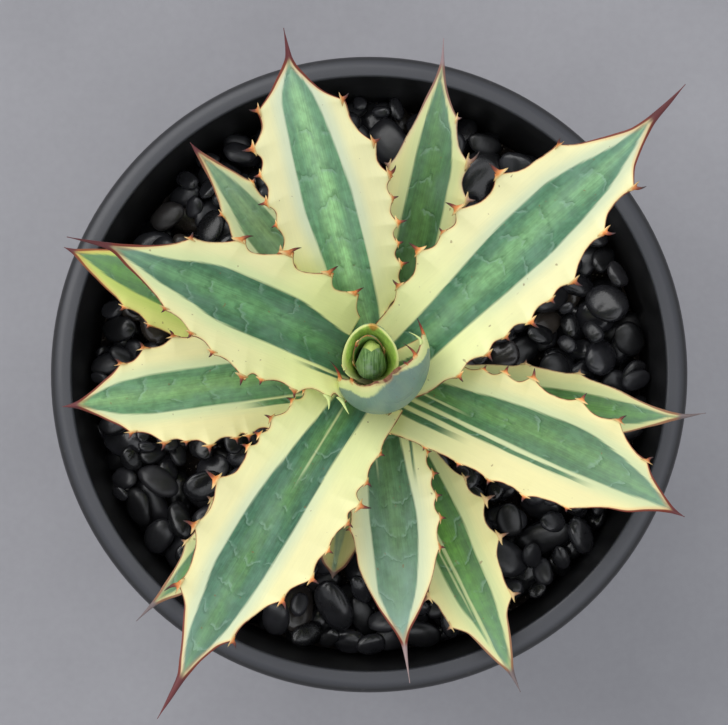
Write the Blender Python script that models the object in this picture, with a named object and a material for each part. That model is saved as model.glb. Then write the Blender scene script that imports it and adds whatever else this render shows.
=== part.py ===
"""A variegated agave rosette in a round nursery pot, dressed with polished pebbles.

Metres, +Z up. The origin is the centre of the pot's underside.
"""

import math

import bmesh
import bpy
from mathutils import Vector

# Pot.
POT_HEIGHT = 0.155
POT_WALL = 0.0015
POT_FLOOR = 0.0020
BASE_RADIUS = 0.0620
BASE_ROUNDING = 0.0030
RIM_RADIUS = 0.0825
RIM_BAND = 0.0057
RIM_SHOULDER = 0.0034
RIM_SKIRT = 0.0140
RIM_INNER_ROUNDING = 0.0006
POT_STEPS = 64

# Drain holes through the pot's floor.
DRAIN_COUNT = 6
DRAIN_RADIUS = 0.0045
DRAIN_CIRCLE = 0.0420

# What fills the pot.
FIT_GAP = 0.0003
GRAVEL_DEPTH_BELOW_RIM = 0.0200
GRAVEL_LAYER = 0.0140
PEBBLE_PITCH = 0.0085
PEBBLE_RELIEF = 0.0022
GRAVEL_STEPS = 60
GRAVEL_RINGS = 8

# Stem. It stands a little off the pot's centre and ends over the highest leaf's base.
PLANT_X = 0.0002
PLANT_Y = 0.0020
STEM_OVER_LEAVES = 0.0032
STEM_TOP_RADIUS = 0.0060
STEM_FOOT_RADIUS = 0.0120
ROOT_DEPTH = 0.0300
ROOT_TIP_RADIUS = 0.0050
STEM_STEPS = 28

# Leaves. They leave the stem one below the other along a spiral, as close as their thickness lets.
LEAF_THICKNESS = 0.0034
LEAF_PITCH = 0.65 * LEAF_THICKNESS
LEAF_OVER_PEBBLES = 0.0009
LEAF_SEAT_GAP = 0.0009
LEAF_STATIONS = 25
LEAF_SIDES = 5
SPINE_RADIUS = 0.0007
TOOTH_LENGTH = 0.0018
STATIONS_PER_TOOTH = 3
TOOTHED_FROM = 0.22
MOST_CLASP = 0.80

# Each leaf: name, place in the spiral, azimuth and slope at its base and its tip in degrees,
# plan distance of its tip from the stem's axis, the tip's height over the leaf's base and the full
# width in metres, half-angle of the channel in degrees, sideways bow in metres, and the shares
# of the plan distance at which the terminal spine starts and at which the blade is widest.
LEAVES = (
    ("inner_leaf_west", 1, 160.0, 53, 38, 0.0760, 0.0632, 0.0290, 30, -0.0010, 0.88, 0.42),
    ("inner_leaf_northeast", 2, 40.0, 44, 29, 0.0980, 0.0594, 0.0305, 22, -0.0030, 0.90, 0.42),
    ("inner_leaf_southwest", 3, 240.0, 44, 25, 0.1015, 0.0517, 0.0305, 22, -0.0004, 0.90, 0.42),
    ("inner_leaf_north", 4, 105.0, 43, 34, 0.0800, 0.0589, 0.0290, 22, 0.0004, 0.92, 0.48),
    ("inner_leaf_southeast", 5, 332.5, 38, 25, 0.0860, 0.0461, 0.0268, 22, 0.0004, 0.96, 0.53),
    ("middle_leaf_west", 6, 189.0, 33, 18, 0.0775, 0.0283, 0.0265, 22, 0.0002, 0.96, 0.53),
    ("middle_leaf_north", 7, 77.0, 36, 20, 0.0815, 0.0355, 0.0200, 26, -0.0036, 0.92, 0.48),
    ("middle_leaf_south", 8, 277.0, 33, 16, 0.0815, 0.0277, 0.0228, 22, 0.0009, 0.89, 0.50),
    ("outer_leaf_northwest", 9, 129.5, 31, 18, 0.0715, 0.0249, 0.0170, 24, 0.0007, 0.96, 0.52),
    ("outer_leaf_east", 10, 351.0, 29, 16, 0.0855, 0.0291, 0.0185, 24, -0.0032, 0.93, 0.50),
    ("outer_leaf_southwest", 11, 228.0, 27, 13, 0.0885, 0.0213, 0.0180, 22, 0.0010, 0.94, 0.52),
    ("outer_leaf_south", 12, 294.5, 26, 14, 0.0920, 0.0235, 0.0192, 22, -0.0006, 0.94, 0.58),
    ("outer_leaf_west", 13, 159.5, 24, 17, 0.0830, 0.0288, 0.0185, 22, 0.0008, 0.97, 0.55),
    ("lowest_leaf_south", 14, 260.0, 20, 12, 0.0560, 0.0120, 0.0150, 20, 0.0, 0.95, 0.55),
)

# How far the midrib keeps its slope at each end, as a share of its chord, and the share of its
# length in which the base's clasp opens into the blade's channel.
BASE_PULL = 0.30
TIP_PULL = 0.45
CLASP_SHARE = 0.29

# Outline of a blade: share of its length from the stem's axis to the spine, share of its full
# width. Its widest place is moved to where the leaf has it.
BLADE_OUTLINE = ((0.0, 0.66), (0.08, 0.75), (0.20, 0.87), (0.36, 0.98), (0.50, 1.0), (0.62, 0.95),
                 (0.73, 0.80), (0.83, 0.54), (0.91, 0.28), (1.0, 0.07))
WIDEST_SHARE = 0.50

# Rolled leaves round the bud: name, azimuth and half-wrap in degrees, radius at the foot, bulge,
# radius at the tip, and the tip's height over the stem in metres.
ROLLED_LEAVES = (
    ("young_leaf", 300.0, 92, 0.0068, 0.0180, 0.0095, 0.0340),
    ("bud_outer_leaf", 90.0, 150, 0.0049, 0.0084, 0.0068, 0.0310),
)
ROLLED_LEAF_THICKNESS = 0.0013
ROLLED_EDGE_DROP = 0.45
ROLLED_STEPS = 14
ROLLED_ROWS = 6
BUD_CORE_RADIUS = 0.0044
BUD_CORE_HEIGHT = 0.0270

BLACK_PLASTIC = (0.020, 0.020, 0.022)
PEAT = (0.045, 0.030, 0.020)
PEBBLE_BLACK = (0.012, 0.012, 0.013)
STEM_TAN = (0.35, 0.28, 0.16)
LEAF_GREEN = (0.15, 0.32, 0.15)
YOUNG_GREEN = (0.30, 0.45, 0.14)
BUD_GREEN = (0.10, 0.24, 0.09)


def clear_scene():
    for item in list(bpy.data.objects):
        bpy.data.objects.remove(item, do_unlink=True)


def make_material(name, colour, roughness):
    material = bpy.data.materials.new(name)
    material.use_nodes = True
    shader = material.node_tree.nodes["Principled BSDF"]
    shader.inputs["Base Color"].default_value = (*colour, 1.0)
    shader.inputs["Roughness"].default_value = roughness
    shader.inputs["Metallic"].default_value = 0.0
    return material


def add_object(name, mesh_data, material, smooth_below=40.0):
    """Turn a bmesh into a named object with outward faces."""
    bmesh.ops.recalc_face_normals(mesh_data, faces=mesh_data.faces)
    mesh = bpy.data.meshes.new(name)
    mesh_data.to_mesh(mesh)
    mesh_data.free()
    mesh.shade_smooth()
    mesh.set_sharp_from_angle(angle=math.radians(smooth_below))
    item = bpy.data.objects.new(name, mesh)
    bpy.context.scene.collection.objects.link(item)
    item.data.materials.append(material)
    return item


def turn(profile, steps):
    """Spin a half profile that starts and ends on the Z axis into a closed body."""
    shape = bmesh.new()
    points = [shape.verts.new((radius, 0.0, height)) for radius, height in profile]
    edges = [shape.edges.new(pair) for pair in zip(points, points[1:])]
    bmesh.ops.spin(shape, geom=points + edges, cent=(0, 0, 0), axis=(0, 0, 1), dvec=(0, 0, 0),
                   angle=math.tau, steps=steps, use_merge=True)
    bmesh.ops.remove_doubles(shape, verts=shape.verts, dist=1e-7)
    return shape


def loft(shape, loops):
    """Skin a list of equal loops and close both ends."""
    rings = [[shape.verts.new(point) for point in loop] for loop in loops]
    count = len(rings[0])
    for first, second in zip(rings, rings[1:]):
        for index in range(count):
            after = (index + 1) % count
            shape.faces.new((first[index], first[after], second[after], second[index]))
    shape.faces.new(rings[0])
    shape.faces.new(rings[-1])


def arc(centre, radius, start, end, steps):
    """Points of an arc in the profile's plane, angles in degrees."""
    points = []
    for step in range(steps + 1):
        angle = math.radians(start + (end - start) * step / steps)
        points.append((centre[0] + radius * math.cos(angle), centre[1] + radius * math.sin(angle)))
    return points


def smooth_step(value):
    value = min(max(value, 0.0), 1.0)
    return value * value * (3.0 - 2.0 * value)


def between(start, end, share):
    return start + (end - start) * share


# ---------------------------------------------------------------- pot and filling

RIM_INNER_RADIUS = RIM_RADIUS - RIM_BAND
GRAVEL_TOP = POT_HEIGHT - GRAVEL_DEPTH_BELOW_RIM
SOIL_TOP = GRAVEL_TOP - GRAVEL_LAYER
PEBBLE_PEAK = 0.65 * PEBBLE_RELIEF
LOWEST_LEAF = GRAVEL_TOP + PEBBLE_PEAK + LEAF_OVER_PEBBLES + 0.5 * LEAF_THICKNESS
HIGHEST_LEAF = LOWEST_LEAF + LEAF_PITCH * (len(LEAVES) - 1)
STEM_TOP = HIGHEST_LEAF + STEM_OVER_LEAVES


def pot_inner_radius(height):
    """Radius of the pot's inner wall at a height."""
    foot = BASE_RADIUS - POT_WALL
    share = (height - POT_FLOOR) / (POT_HEIGHT - POT_FLOOR)
    return between(foot, RIM_INNER_RADIUS, share)


def make_pot():
    shoulder_x = RIM_RADIUS - RIM_SHOULDER
    shoulder_z = POT_HEIGHT - RIM_SHOULDER
    skirt_z = POT_HEIGHT - RIM_SKIRT
    band_under = POT_HEIGHT - POT_WALL
    rounding = RIM_INNER_ROUNDING
    inner_shoulder = RIM_SHOULDER - POT_WALL
    outside = [(RIM_INNER_RADIUS + rounding, POT_HEIGHT)]
    outside += arc((shoulder_x, shoulder_z), RIM_SHOULDER, 90, 0, 5)
    outside += [(RIM_RADIUS, skirt_z), (RIM_RADIUS - POT_WALL, skirt_z)]
    outside += arc((shoulder_x, shoulder_z), inner_shoulder, 0, 90, 3)
    wall_top = pot_inner_radius(band_under) + POT_WALL
    outside += [(wall_top + FIT_GAP, band_under)]
    outside += arc((BASE_RADIUS - BASE_ROUNDING, BASE_ROUNDING), BASE_ROUNDING, 0, -90, 4)
    outside += [(0.0, 0.0)]
    foot = pot_inner_radius(POT_FLOOR)
    inside = [(0.0, POT_FLOOR), (foot, POT_FLOOR)]
    inside += [(RIM_INNER_RADIUS, POT_HEIGHT - rounding)]
    profile = [(0.0, POT_FLOOR)] + inside[1:] + outside
    pot = add_object("pot", turn(profile, POT_STEPS), make_material("black_plastic", BLACK_PLASTIC, 0.42))

    drains = bmesh.new()
    for index in range(DRAIN_COUNT):
        angle = math.tau * index / DRAIN_COUNT
        place = Vector((DRAIN_CIRCLE * math.cos(angle), DRAIN_CIRCLE * math.sin(angle), 0.0))
        made = bmesh.ops.create_cone(drains, cap_ends=True, segments=16, radius1=DRAIN_RADIUS,
                                     radius2=DRAIN_RADIUS, depth=4 * POT_FLOOR)
        bmesh.ops.translate(drains, vec=place, verts=made["verts"])
    cutter = add_object("drain_cutter", drains, pot.active_material)
    cutter.hide_render = True
    cutter.display_type = "WIRE"
    cut = pot.modifiers.new("drains", "BOOLEAN")
    cut.operation = "DIFFERENCE"
    cut.object = cutter


def stem_radius(height):
    """Radius of the stem at a height above the soil."""
    share = (height - SOIL_TOP) / (STEM_TOP - SOIL_TOP)
    return between(STEM_FOOT_RADIUS, STEM_TOP_RADIUS, smooth_step(share))


def circle(centre, radius, height, steps):
    points = []
    for step in range(steps):
        angle = math.tau * step / steps
        points.append(Vector((centre[0] + radius * math.cos(angle),
                              centre[1] + radius * math.sin(angle), height)))
    return points


def make_soil():
    """The potting mix, with a socket for the root crown."""
    bottom = POT_FLOOR + FIT_GAP
    plant = (PLANT_X, PLANT_Y)
    loops = [circle((0.0, 0.0), pot_inner_radius(bottom) - FIT_GAP, bottom, POT_STEPS)]
    loops += [circle((0.0, 0.0), pot_inner_radius(SOIL_TOP) - FIT_GAP, SOIL_TOP, POT_STEPS)]
    loops += [circle(plant, STEM_FOOT_RADIUS + FIT_GAP, SOIL_TOP, POT_STEPS)]
    loops += [circle(plant, ROOT_TIP_RADIUS + FIT_GAP, SOIL_TOP - ROOT_DEPTH - FIT_GAP, POT_STEPS)]
    shape = bmesh.new()
    loft(shape, loops)
    add_object("soil", shape, make_material("potting_mix", PEAT, 0.95))


def make_stem():
    profile = [(0.0, SOIL_TOP - ROOT_DEPTH), (ROOT_TIP_RADIUS, SOIL_TOP - ROOT_DEPTH)]
    for step in range(9):
        height = between(SOIL_TOP, STEM_TOP, step / 8)
        profile.append((stem_radius(height), height))
    profile.append((0.0, STEM_TOP))
    stem = add_object("stem", turn(profile, STEM_STEPS), make_material("stem_tissue", STEM_TAN, 0.7))
    stem.location = (PLANT_X, PLANT_Y, 0.0)


def pebble_height(x, y):
    """Height of the pebbles' tops over the bed, as rounded bumps on a staggered grid."""
    row = round(y / (0.8 * PEBBLE_PITCH))
    shift = 0.5 * PEBBLE_PITCH * (row % 2)
    column = round((x - shift) / PEBBLE_PITCH)
    wobble = math.sin(12.9 * row + 78.2 * column)
    centre_x = column * PEBBLE_PITCH + shift + 0.18 * PEBBLE_PITCH * wobble
    centre_y = row * 0.8 * PEBBLE_PITCH
    away = math.hypot(x - centre_x, y - centre_y) / (0.62 * PEBBLE_PITCH)
    return PEBBLE_RELIEF * (math.sqrt(max(0.0, 1.0 - away * away)) + 0.25 * wobble - 0.6)


def make_gravel_bed():
    """A ring of stones round the stem: flat below, domed pebbles on top."""
    shape = bmesh.new()
    inner = STEM_FOOT_RADIUS + FIT_GAP
    bottom = SOIL_TOP + FIT_GAP
    rings = []
    for ring in range(GRAVEL_RINGS + 1):
        share = ring / GRAVEL_RINGS
        points = []
        for step in range(GRAVEL_STEPS):
            angle = math.tau * (step + 0.5 * (ring % 2)) / GRAVEL_STEPS
            direction = Vector((math.cos(angle), math.sin(angle), 0.0))
            start = Vector((PLANT_X, PLANT_Y, 0.0)) + direction * inner
            end = direction * (pot_inner_radius(bottom) - FIT_GAP)
            place = start.lerp(end, share)
            place.z = GRAVEL_TOP + pebble_height(place.x, place.y)
            points.append(shape.verts.new(place))
        rings.append(points)
    for edge in (rings[-1], rings[0]):
        under = [shape.verts.new((point.co.x, point.co.y, bottom)) for point in edge]
        rings.append(under)
    lower_outer, lower_inner = rings[-2], rings[-1]
    loops = rings[:-2] + [lower_outer, lower_inner, rings[0]]
    for first, second in zip(loops, loops[1:]):
        for step in range(GRAVEL_STEPS):
            after = (step + 1) % GRAVEL_STEPS
            shape.faces.new((first[step], first[after], second[after], second[step]))
    add_object("gravel_bed", shape, make_material("black_pebbles", PEBBLE_BLACK, 0.25))


# ---------------------------------------------------------------- leaves

def outline_share(share, widest):
    """Half-width of a blade as a share of its full half-width."""
    share = share ** (math.log(WIDEST_SHARE) / math.log(widest))
    for (start, low), (end, high) in zip(BLADE_OUTLINE, BLADE_OUTLINE[1:]):
        if share <= end:
            return between(low, high, (share - start) / (end - start))
    return BLADE_OUTLINE[-1][1]


class Midrib:
    """A leaf's midrib: a cubic curve that rises from the stem, bowed a little sideways."""

    def __init__(self, azimuth, start, slope_at_base, end, slope_at_tip, bow):
        angle = math.radians(azimuth)
        self.out = Vector((math.cos(angle), math.sin(angle), 0.0))
        self.side = Vector((-math.sin(angle), math.cos(angle), 0.0))
        self.reach = end[0]
        self.bow = bow
        chord = math.hypot(end[0] - start[0], end[1] - start[1])
        low, high = math.radians(slope_at_base), math.radians(slope_at_tip)
        rise, fall = BASE_PULL * chord, TIP_PULL * chord
        pull = (start[0] + rise * math.cos(low), start[1] + rise * math.sin(low))
        aim = (end[0] - fall * math.cos(high), end[1] - fall * math.sin(high))
        self.control = (start, pull, aim, end)

    def plan_and_height(self, share):
        rest = 1.0 - share
        weights = (rest ** 3, 3 * rest * rest * share, 3 * rest * share * share, share ** 3)
        out = sum(weight * point[0] for weight, point in zip(weights, self.control))
        height = sum(weight * point[1] for weight, point in zip(weights, self.control))
        return out, height

    def point(self, share):
        out, height = self.plan_and_height(share)
        along = out / self.reach
        sideways = self.bow * 4.0 * along * (1.0 - along)
        return Vector((PLANT_X, PLANT_Y, height)) + self.out * out + self.side * sideways

    def frame(self, share):
        """Place, side and upward normal of the leaf's section."""
        step = 1e-3
        along = (self.point(share + step) - self.point(share - step)).normalized()
        side = Vector((0.0, 0.0, 1.0)).cross(along).normalized()
        return self.point(share), side, along.cross(side)


def leaf_section(place, side, up, half_width, channel, thickness):
    """Closed loop of points round a channelled section, from one edge to the other and back."""
    radius = half_width / channel
    loop = []
    across = [2.0 * step / LEAF_SIDES - 1.0 for step in range(LEAF_SIDES + 1)]
    for share in across:
        depth = 0.5 * thickness * (1.0 - share * share)
        angle = channel * share
        reach = radius - depth
        loop.append(place + side * (reach * math.sin(angle)) + up * (radius - reach * math.cos(angle)))
    for share in reversed(across[1:-1]):
        depth = 0.5 * thickness * (1.0 - share * share)
        angle = channel * share
        reach = radius + depth
        loop.append(place + side * (reach * math.sin(angle)) + up * (radius - reach * math.cos(angle)))
    return loop


def make_leaf(name, order, azimuth, slope_at_base, slope_at_tip, reach, rise, width, channel, bow,
              spine_from, widest, material):
    height = LOWEST_LEAF + LEAF_PITCH * (len(LEAVES) - order)
    lean = 0.5 * LEAF_THICKNESS * math.sin(math.radians(slope_at_base))
    start = (stem_radius(height) + LEAF_SEAT_GAP + lean, height)
    midrib = Midrib(azimuth, start, slope_at_base, (reach, height + rise), slope_at_tip, bow)
    half_width = 0.5 * width
    clasp = min(half_width * BLADE_OUTLINE[0][1] / start[0], MOST_CLASP)
    loops = []
    for station in range(LEAF_STATIONS + 1):
        share = station / LEAF_STATIONS
        place, side, up = midrib.frame(share)
        along = midrib.plan_and_height(share)[0] / reach
        if along < spine_from:
            half = half_width * outline_share(along / spine_from, widest)
            if station % STATIONS_PER_TOOTH == 1 and share > TOOTHED_FROM:
                half += TOOTH_LENGTH
            bend = between(clasp, math.radians(channel), smooth_step(share / CLASP_SHARE))
            thick = between(LEAF_THICKNESS, 0.45 * LEAF_THICKNESS, smooth_step(along / spine_from))
        else:
            half = between(SPINE_RADIUS, 0.25 * SPINE_RADIUS, (along - spine_from) / (1.0 - spine_from))
            bend = 0.5
            thick = 2.0 * half
        loops.append(leaf_section(place, side, up, half, bend, thick))
    shape = bmesh.new()
    loft(shape, loops)
    add_object(name, shape, material)


def make_leaves():
    for index, leaf in enumerate(LEAVES):
        make_leaf(*leaf, make_material(f"leaf_{index + 1}", LEAF_GREEN, 0.5))


# ---------------------------------------------------------------- bud

def make_rolled_leaf(name, azimuth, half_wrap, foot_radius, bulge, tip_radius, tip_height,
                     material):
    """A young leaf curled round the bud, highest at its tip and lower along both edges."""
    foot = STEM_TOP + FIT_GAP
    top = STEM_TOP + tip_height
    waist = 0.5 * (foot + top)
    loops = []
    for step in range(ROLLED_STEPS + 1):
        across = 2.0 * step / ROLLED_STEPS - 1.0
        angle = math.radians(azimuth + half_wrap * across)
        out = Vector((math.cos(angle), math.sin(angle), 0.0))
        crest = 1.0 - ROLLED_EDGE_DROP * abs(across) ** 1.3
        thickness = ROLLED_LEAF_THICKNESS * (1.0 - 0.5 * abs(across) ** 3)
        outer, inner = [], []
        for row in range(ROLLED_ROWS + 1):
            share = crest * row / ROLLED_ROWS
            rest = 1.0 - share
            radius = rest * rest * foot_radius + 2 * rest * share * bulge + share * share * tip_radius
            height = rest * rest * foot + 2 * rest * share * waist + share * share * top
            centre = Vector((PLANT_X, PLANT_Y, height))
            outer.append(centre + out * radius)
            inner.append(centre + out * (radius - thickness * (1.0 - 0.6 * share)))
        loops.append(outer + inner[::-1])
    shape = bmesh.new()
    loft(shape, loops)
    add_object(name, shape, material)


def make_bud():
    colours = (LEAF_GREEN, YOUNG_GREEN)
    for leaf, colour in zip(ROLLED_LEAVES, colours):
        make_rolled_leaf(*leaf, make_material(leaf[0], colour, 0.5))
    bottom = STEM_TOP + FIT_GAP
    top = STEM_TOP + BUD_CORE_HEIGHT
    profile = [(0.0, bottom)]
    for step in range(9):
        share = step / 9
        belly = math.sin(math.pi * (0.25 + 0.75 * share)) ** 0.7
        profile.append((BUD_CORE_RADIUS * belly, between(bottom, top, share)))
    profile.append((0.0, top))
    core = add_object("bud_core", turn(profile, STEM_STEPS), make_material("bud_core", BUD_GREEN, 0.5))
    core.location = (PLANT_X, PLANT_Y, 0.0)


clear_scene()
make_pot()
make_soil()
make_gravel_bed()
make_stem()
make_leaves()
make_bud()
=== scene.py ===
"""Looks of a potted variegated agave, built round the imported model's frame.

Metres, +Z up, unless a name ends in _MM or a comment says millimetres.
"""

import math
import random

import bpy
import numpy as np
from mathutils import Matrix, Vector, noise


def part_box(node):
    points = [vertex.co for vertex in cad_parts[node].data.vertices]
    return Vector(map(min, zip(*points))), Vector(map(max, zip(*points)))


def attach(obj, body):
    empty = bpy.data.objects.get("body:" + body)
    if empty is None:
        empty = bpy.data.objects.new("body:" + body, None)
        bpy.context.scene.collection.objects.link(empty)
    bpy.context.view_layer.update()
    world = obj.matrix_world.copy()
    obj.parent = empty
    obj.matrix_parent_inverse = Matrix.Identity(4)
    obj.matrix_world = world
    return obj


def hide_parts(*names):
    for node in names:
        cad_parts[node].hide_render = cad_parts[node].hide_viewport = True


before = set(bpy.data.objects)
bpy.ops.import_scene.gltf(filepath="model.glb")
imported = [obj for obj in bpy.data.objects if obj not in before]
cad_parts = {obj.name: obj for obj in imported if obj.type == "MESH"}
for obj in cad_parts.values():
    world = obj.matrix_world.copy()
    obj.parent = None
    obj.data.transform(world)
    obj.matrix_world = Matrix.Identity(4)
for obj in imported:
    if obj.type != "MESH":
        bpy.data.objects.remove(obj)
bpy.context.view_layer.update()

MM = 0.001

# Heights and places read from the frame.
POT_LOW, POT_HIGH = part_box("pot")
SOIL_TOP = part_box("soil")[1].z
STEM_LOW, STEM_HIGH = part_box("stem")
RIM_TOP = POT_HIGH.z
RIM_RADIUS = 0.5 * (POT_HIGH.x - POT_LOW.x)
STEM_TOP = STEM_HIGH.z
PLANT = np.array([0.5 * (STEM_LOW.x + STEM_HIGH.x), 0.5 * (STEM_LOW.y + STEM_HIGH.y), 0.0])
STEM_FOOT_RADIUS = 0.5 * (STEM_HIGH.x - STEM_LOW.x)
STEM_TOP_RADIUS = 0.5 * STEM_FOOT_RADIUS

# The pot's section, as in the model.
POT_WALL = 0.0015
POT_FLOOR = 0.0020
BASE_RADIUS = 0.0620
BASE_ROUNDING = 0.0030
RIM_BAND = 0.0057
RIM_SHOULDER = 0.0034
RIM_SKIRT = 0.0140
LIP_ROUNDING = 0.0007
SKIRT_ROUNDING = 0.0004
FLOOR_RINGS = (0.052, 0.032, 0.012)
POT_SHARP_DEGREES = 38.0
POT_STEPS = 192
DRAIN_COUNT = 6
DRAIN_RADIUS = 0.0045
DRAIN_CIRCLE = 0.0420
BED_TOP = RIM_TOP - 0.0200

# How the leaves leave the stem, as in the model.
LEAF_THICKNESS = 0.0034
LEAF_PITCH = 0.65 * LEAF_THICKNESS
STEM_OVER_LEAVES = 0.0032
LEAF_SEAT_GAP = 0.0009
BASE_PULL = 0.30
TIP_PULL = 0.45
CLASP_SHARE = 0.29


def srgb(red, green, blue):
    """A colour given as 0 to 255 display values, as the linear colour that nodes take."""
    def linear(value):
        value = value / 255.0
        return value / 12.92 if value <= 0.04045 else ((value + 0.055) / 1.055) ** 2.4
    return (linear(red), linear(green), linear(blue), 1.0)


def smooth_step(value):
    value = np.clip(value, 0.0, 1.0)
    return value * value * (3.0 - 2.0 * value)


def between(start, end, share):
    return start + (end - start) * share


def smooth_curve(points, at):
    """Values at places on a smooth curve through points, with no overshoot between them."""
    place = np.array([point[0] for point in points], float)
    value = np.array([point[1] for point in points], float)
    slope = np.diff(value) / np.diff(place)
    tangent = np.zeros(len(place))
    tangent[0], tangent[-1] = slope[0], slope[-1]
    for index in range(1, len(place) - 1):
        before, after = slope[index - 1], slope[index]
        if before * after > 0.0:
            tangent[index] = 2.0 * before * after / (before + after)
    at = np.clip(np.asarray(at, float), place[0], place[-1])
    index = np.clip(np.searchsorted(place, at, side="right") - 1, 0, len(place) - 2)
    width = place[index + 1] - place[index]
    share = (at - place[index]) / width
    squared, cubed = share ** 2, share ** 3
    return ((2 * cubed - 3 * squared + 1) * value[index]
            + (cubed - 2 * squared + share) * width * tangent[index]
            + (3 * squared - 2 * cubed) * value[index + 1]
            + (cubed - squared) * width * tangent[index + 1])


# ---------------------------------------------------------------- materials

class Surface:
    """A material, with short calls for the nodes that make its pattern."""

    def __init__(self, name):
        self.material = bpy.data.materials.new(name)
        self.material.use_nodes = True
        self.tree = self.material.node_tree
        self.shader = self.tree.nodes["Principled BSDF"]

    def feed(self, socket, value):
        if isinstance(value, bpy.types.NodeSocket):
            self.tree.links.new(value, socket)
        else:
            socket.default_value = value

    def add(self, kind, inputs, **settings):
        node = self.tree.nodes.new(kind)
        for key, value in settings.items():
            setattr(node, key, value)
        for key, value in inputs.items():
            self.feed(node.inputs[key], value)
        return node

    def math(self, operation, first, second=0.0, clamp=False):
        node = self.add("ShaderNodeMath", {0: first, 1: second}, operation=operation, use_clamp=clamp)
        return node.outputs[0]

    def plus(self, first, second, clamp=False):
        return self.math("ADD", first, second, clamp)

    def less(self, first, second):
        return self.math("SUBTRACT", first, second)

    def times(self, first, second):
        return self.math("MULTIPLY", first, second)

    def over(self, first, second):
        return self.math("DIVIDE", first, second)

    def least(self, first, second):
        return self.math("MINIMUM", first, second)

    def most(self, first, second):
        return self.math("MAXIMUM", first, second)

    def magnitude(self, value):
        return self.math("ABSOLUTE", value)

    def fraction(self, value):
        return self.math("FRACT", value)

    def ease(self, value, start, end, low=0.0, high=1.0):
        """Low below start, high over end, and a smooth step between them."""
        inputs = {"Value": value, "From Min": start, "From Max": end, "To Min": low, "To Max": high}
        return self.add("ShaderNodeMapRange", inputs, interpolation_type="SMOOTHSTEP").outputs[0]

    def mix(self, share, first, second, blend="MIX"):
        node = self.add("ShaderNodeMix", {0: share, 6: first, 7: second}, data_type="RGBA",
                        blend_type=blend)
        return node.outputs[2]

    def attribute(self, name):
        """The three numbers of a mesh attribute."""
        source = self.add("ShaderNodeAttribute", {}, attribute_name=name)
        return self.add("ShaderNodeSeparateXYZ", {0: source.outputs["Vector"]}).outputs

    def place(self, x, y, z):
        return self.add("ShaderNodeCombineXYZ", {0: x, 1: y, 2: z}).outputs[0]

    def object_place(self):
        return self.add("ShaderNodeTexCoord", {}).outputs["Object"]

    def noise(self, where, scale, detail=2.0, roughness=0.5):
        inputs = {"Vector": where, "Scale": scale, "Detail": detail, "Roughness": roughness}
        return self.add("ShaderNodeTexNoise", inputs).outputs[0]

    def shade(self, value, colour, low, high, start=0.25, end=0.75):
        """The colour, times low where value is under start and times high where it is over end."""
        bright = self.ease(value, start, end, low, high)
        grey = self.add("ShaderNodeCombineColor", {0: bright, 1: bright, 2: bright}).outputs[0]
        return self.mix(1.0, colour, grey, "MULTIPLY")

    def bump(self, height, distance, strength=1.0, under=None):
        inputs = {"Height": height, "Distance": distance, "Strength": strength}
        if under is not None:
            inputs["Normal"] = under
        return self.add("ShaderNodeBump", inputs).outputs[0]

    def finish(self, colour, roughness, normal=None, **fixed):
        self.feed(self.shader.inputs["Base Color"], colour)
        self.feed(self.shader.inputs["Roughness"], roughness)
        if normal is not None:
            self.feed(self.shader.inputs["Normal"], normal)
        for key, value in fixed.items():
            self.shader.inputs[key.replace("_", " ")].default_value = value
        return self.material


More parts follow.
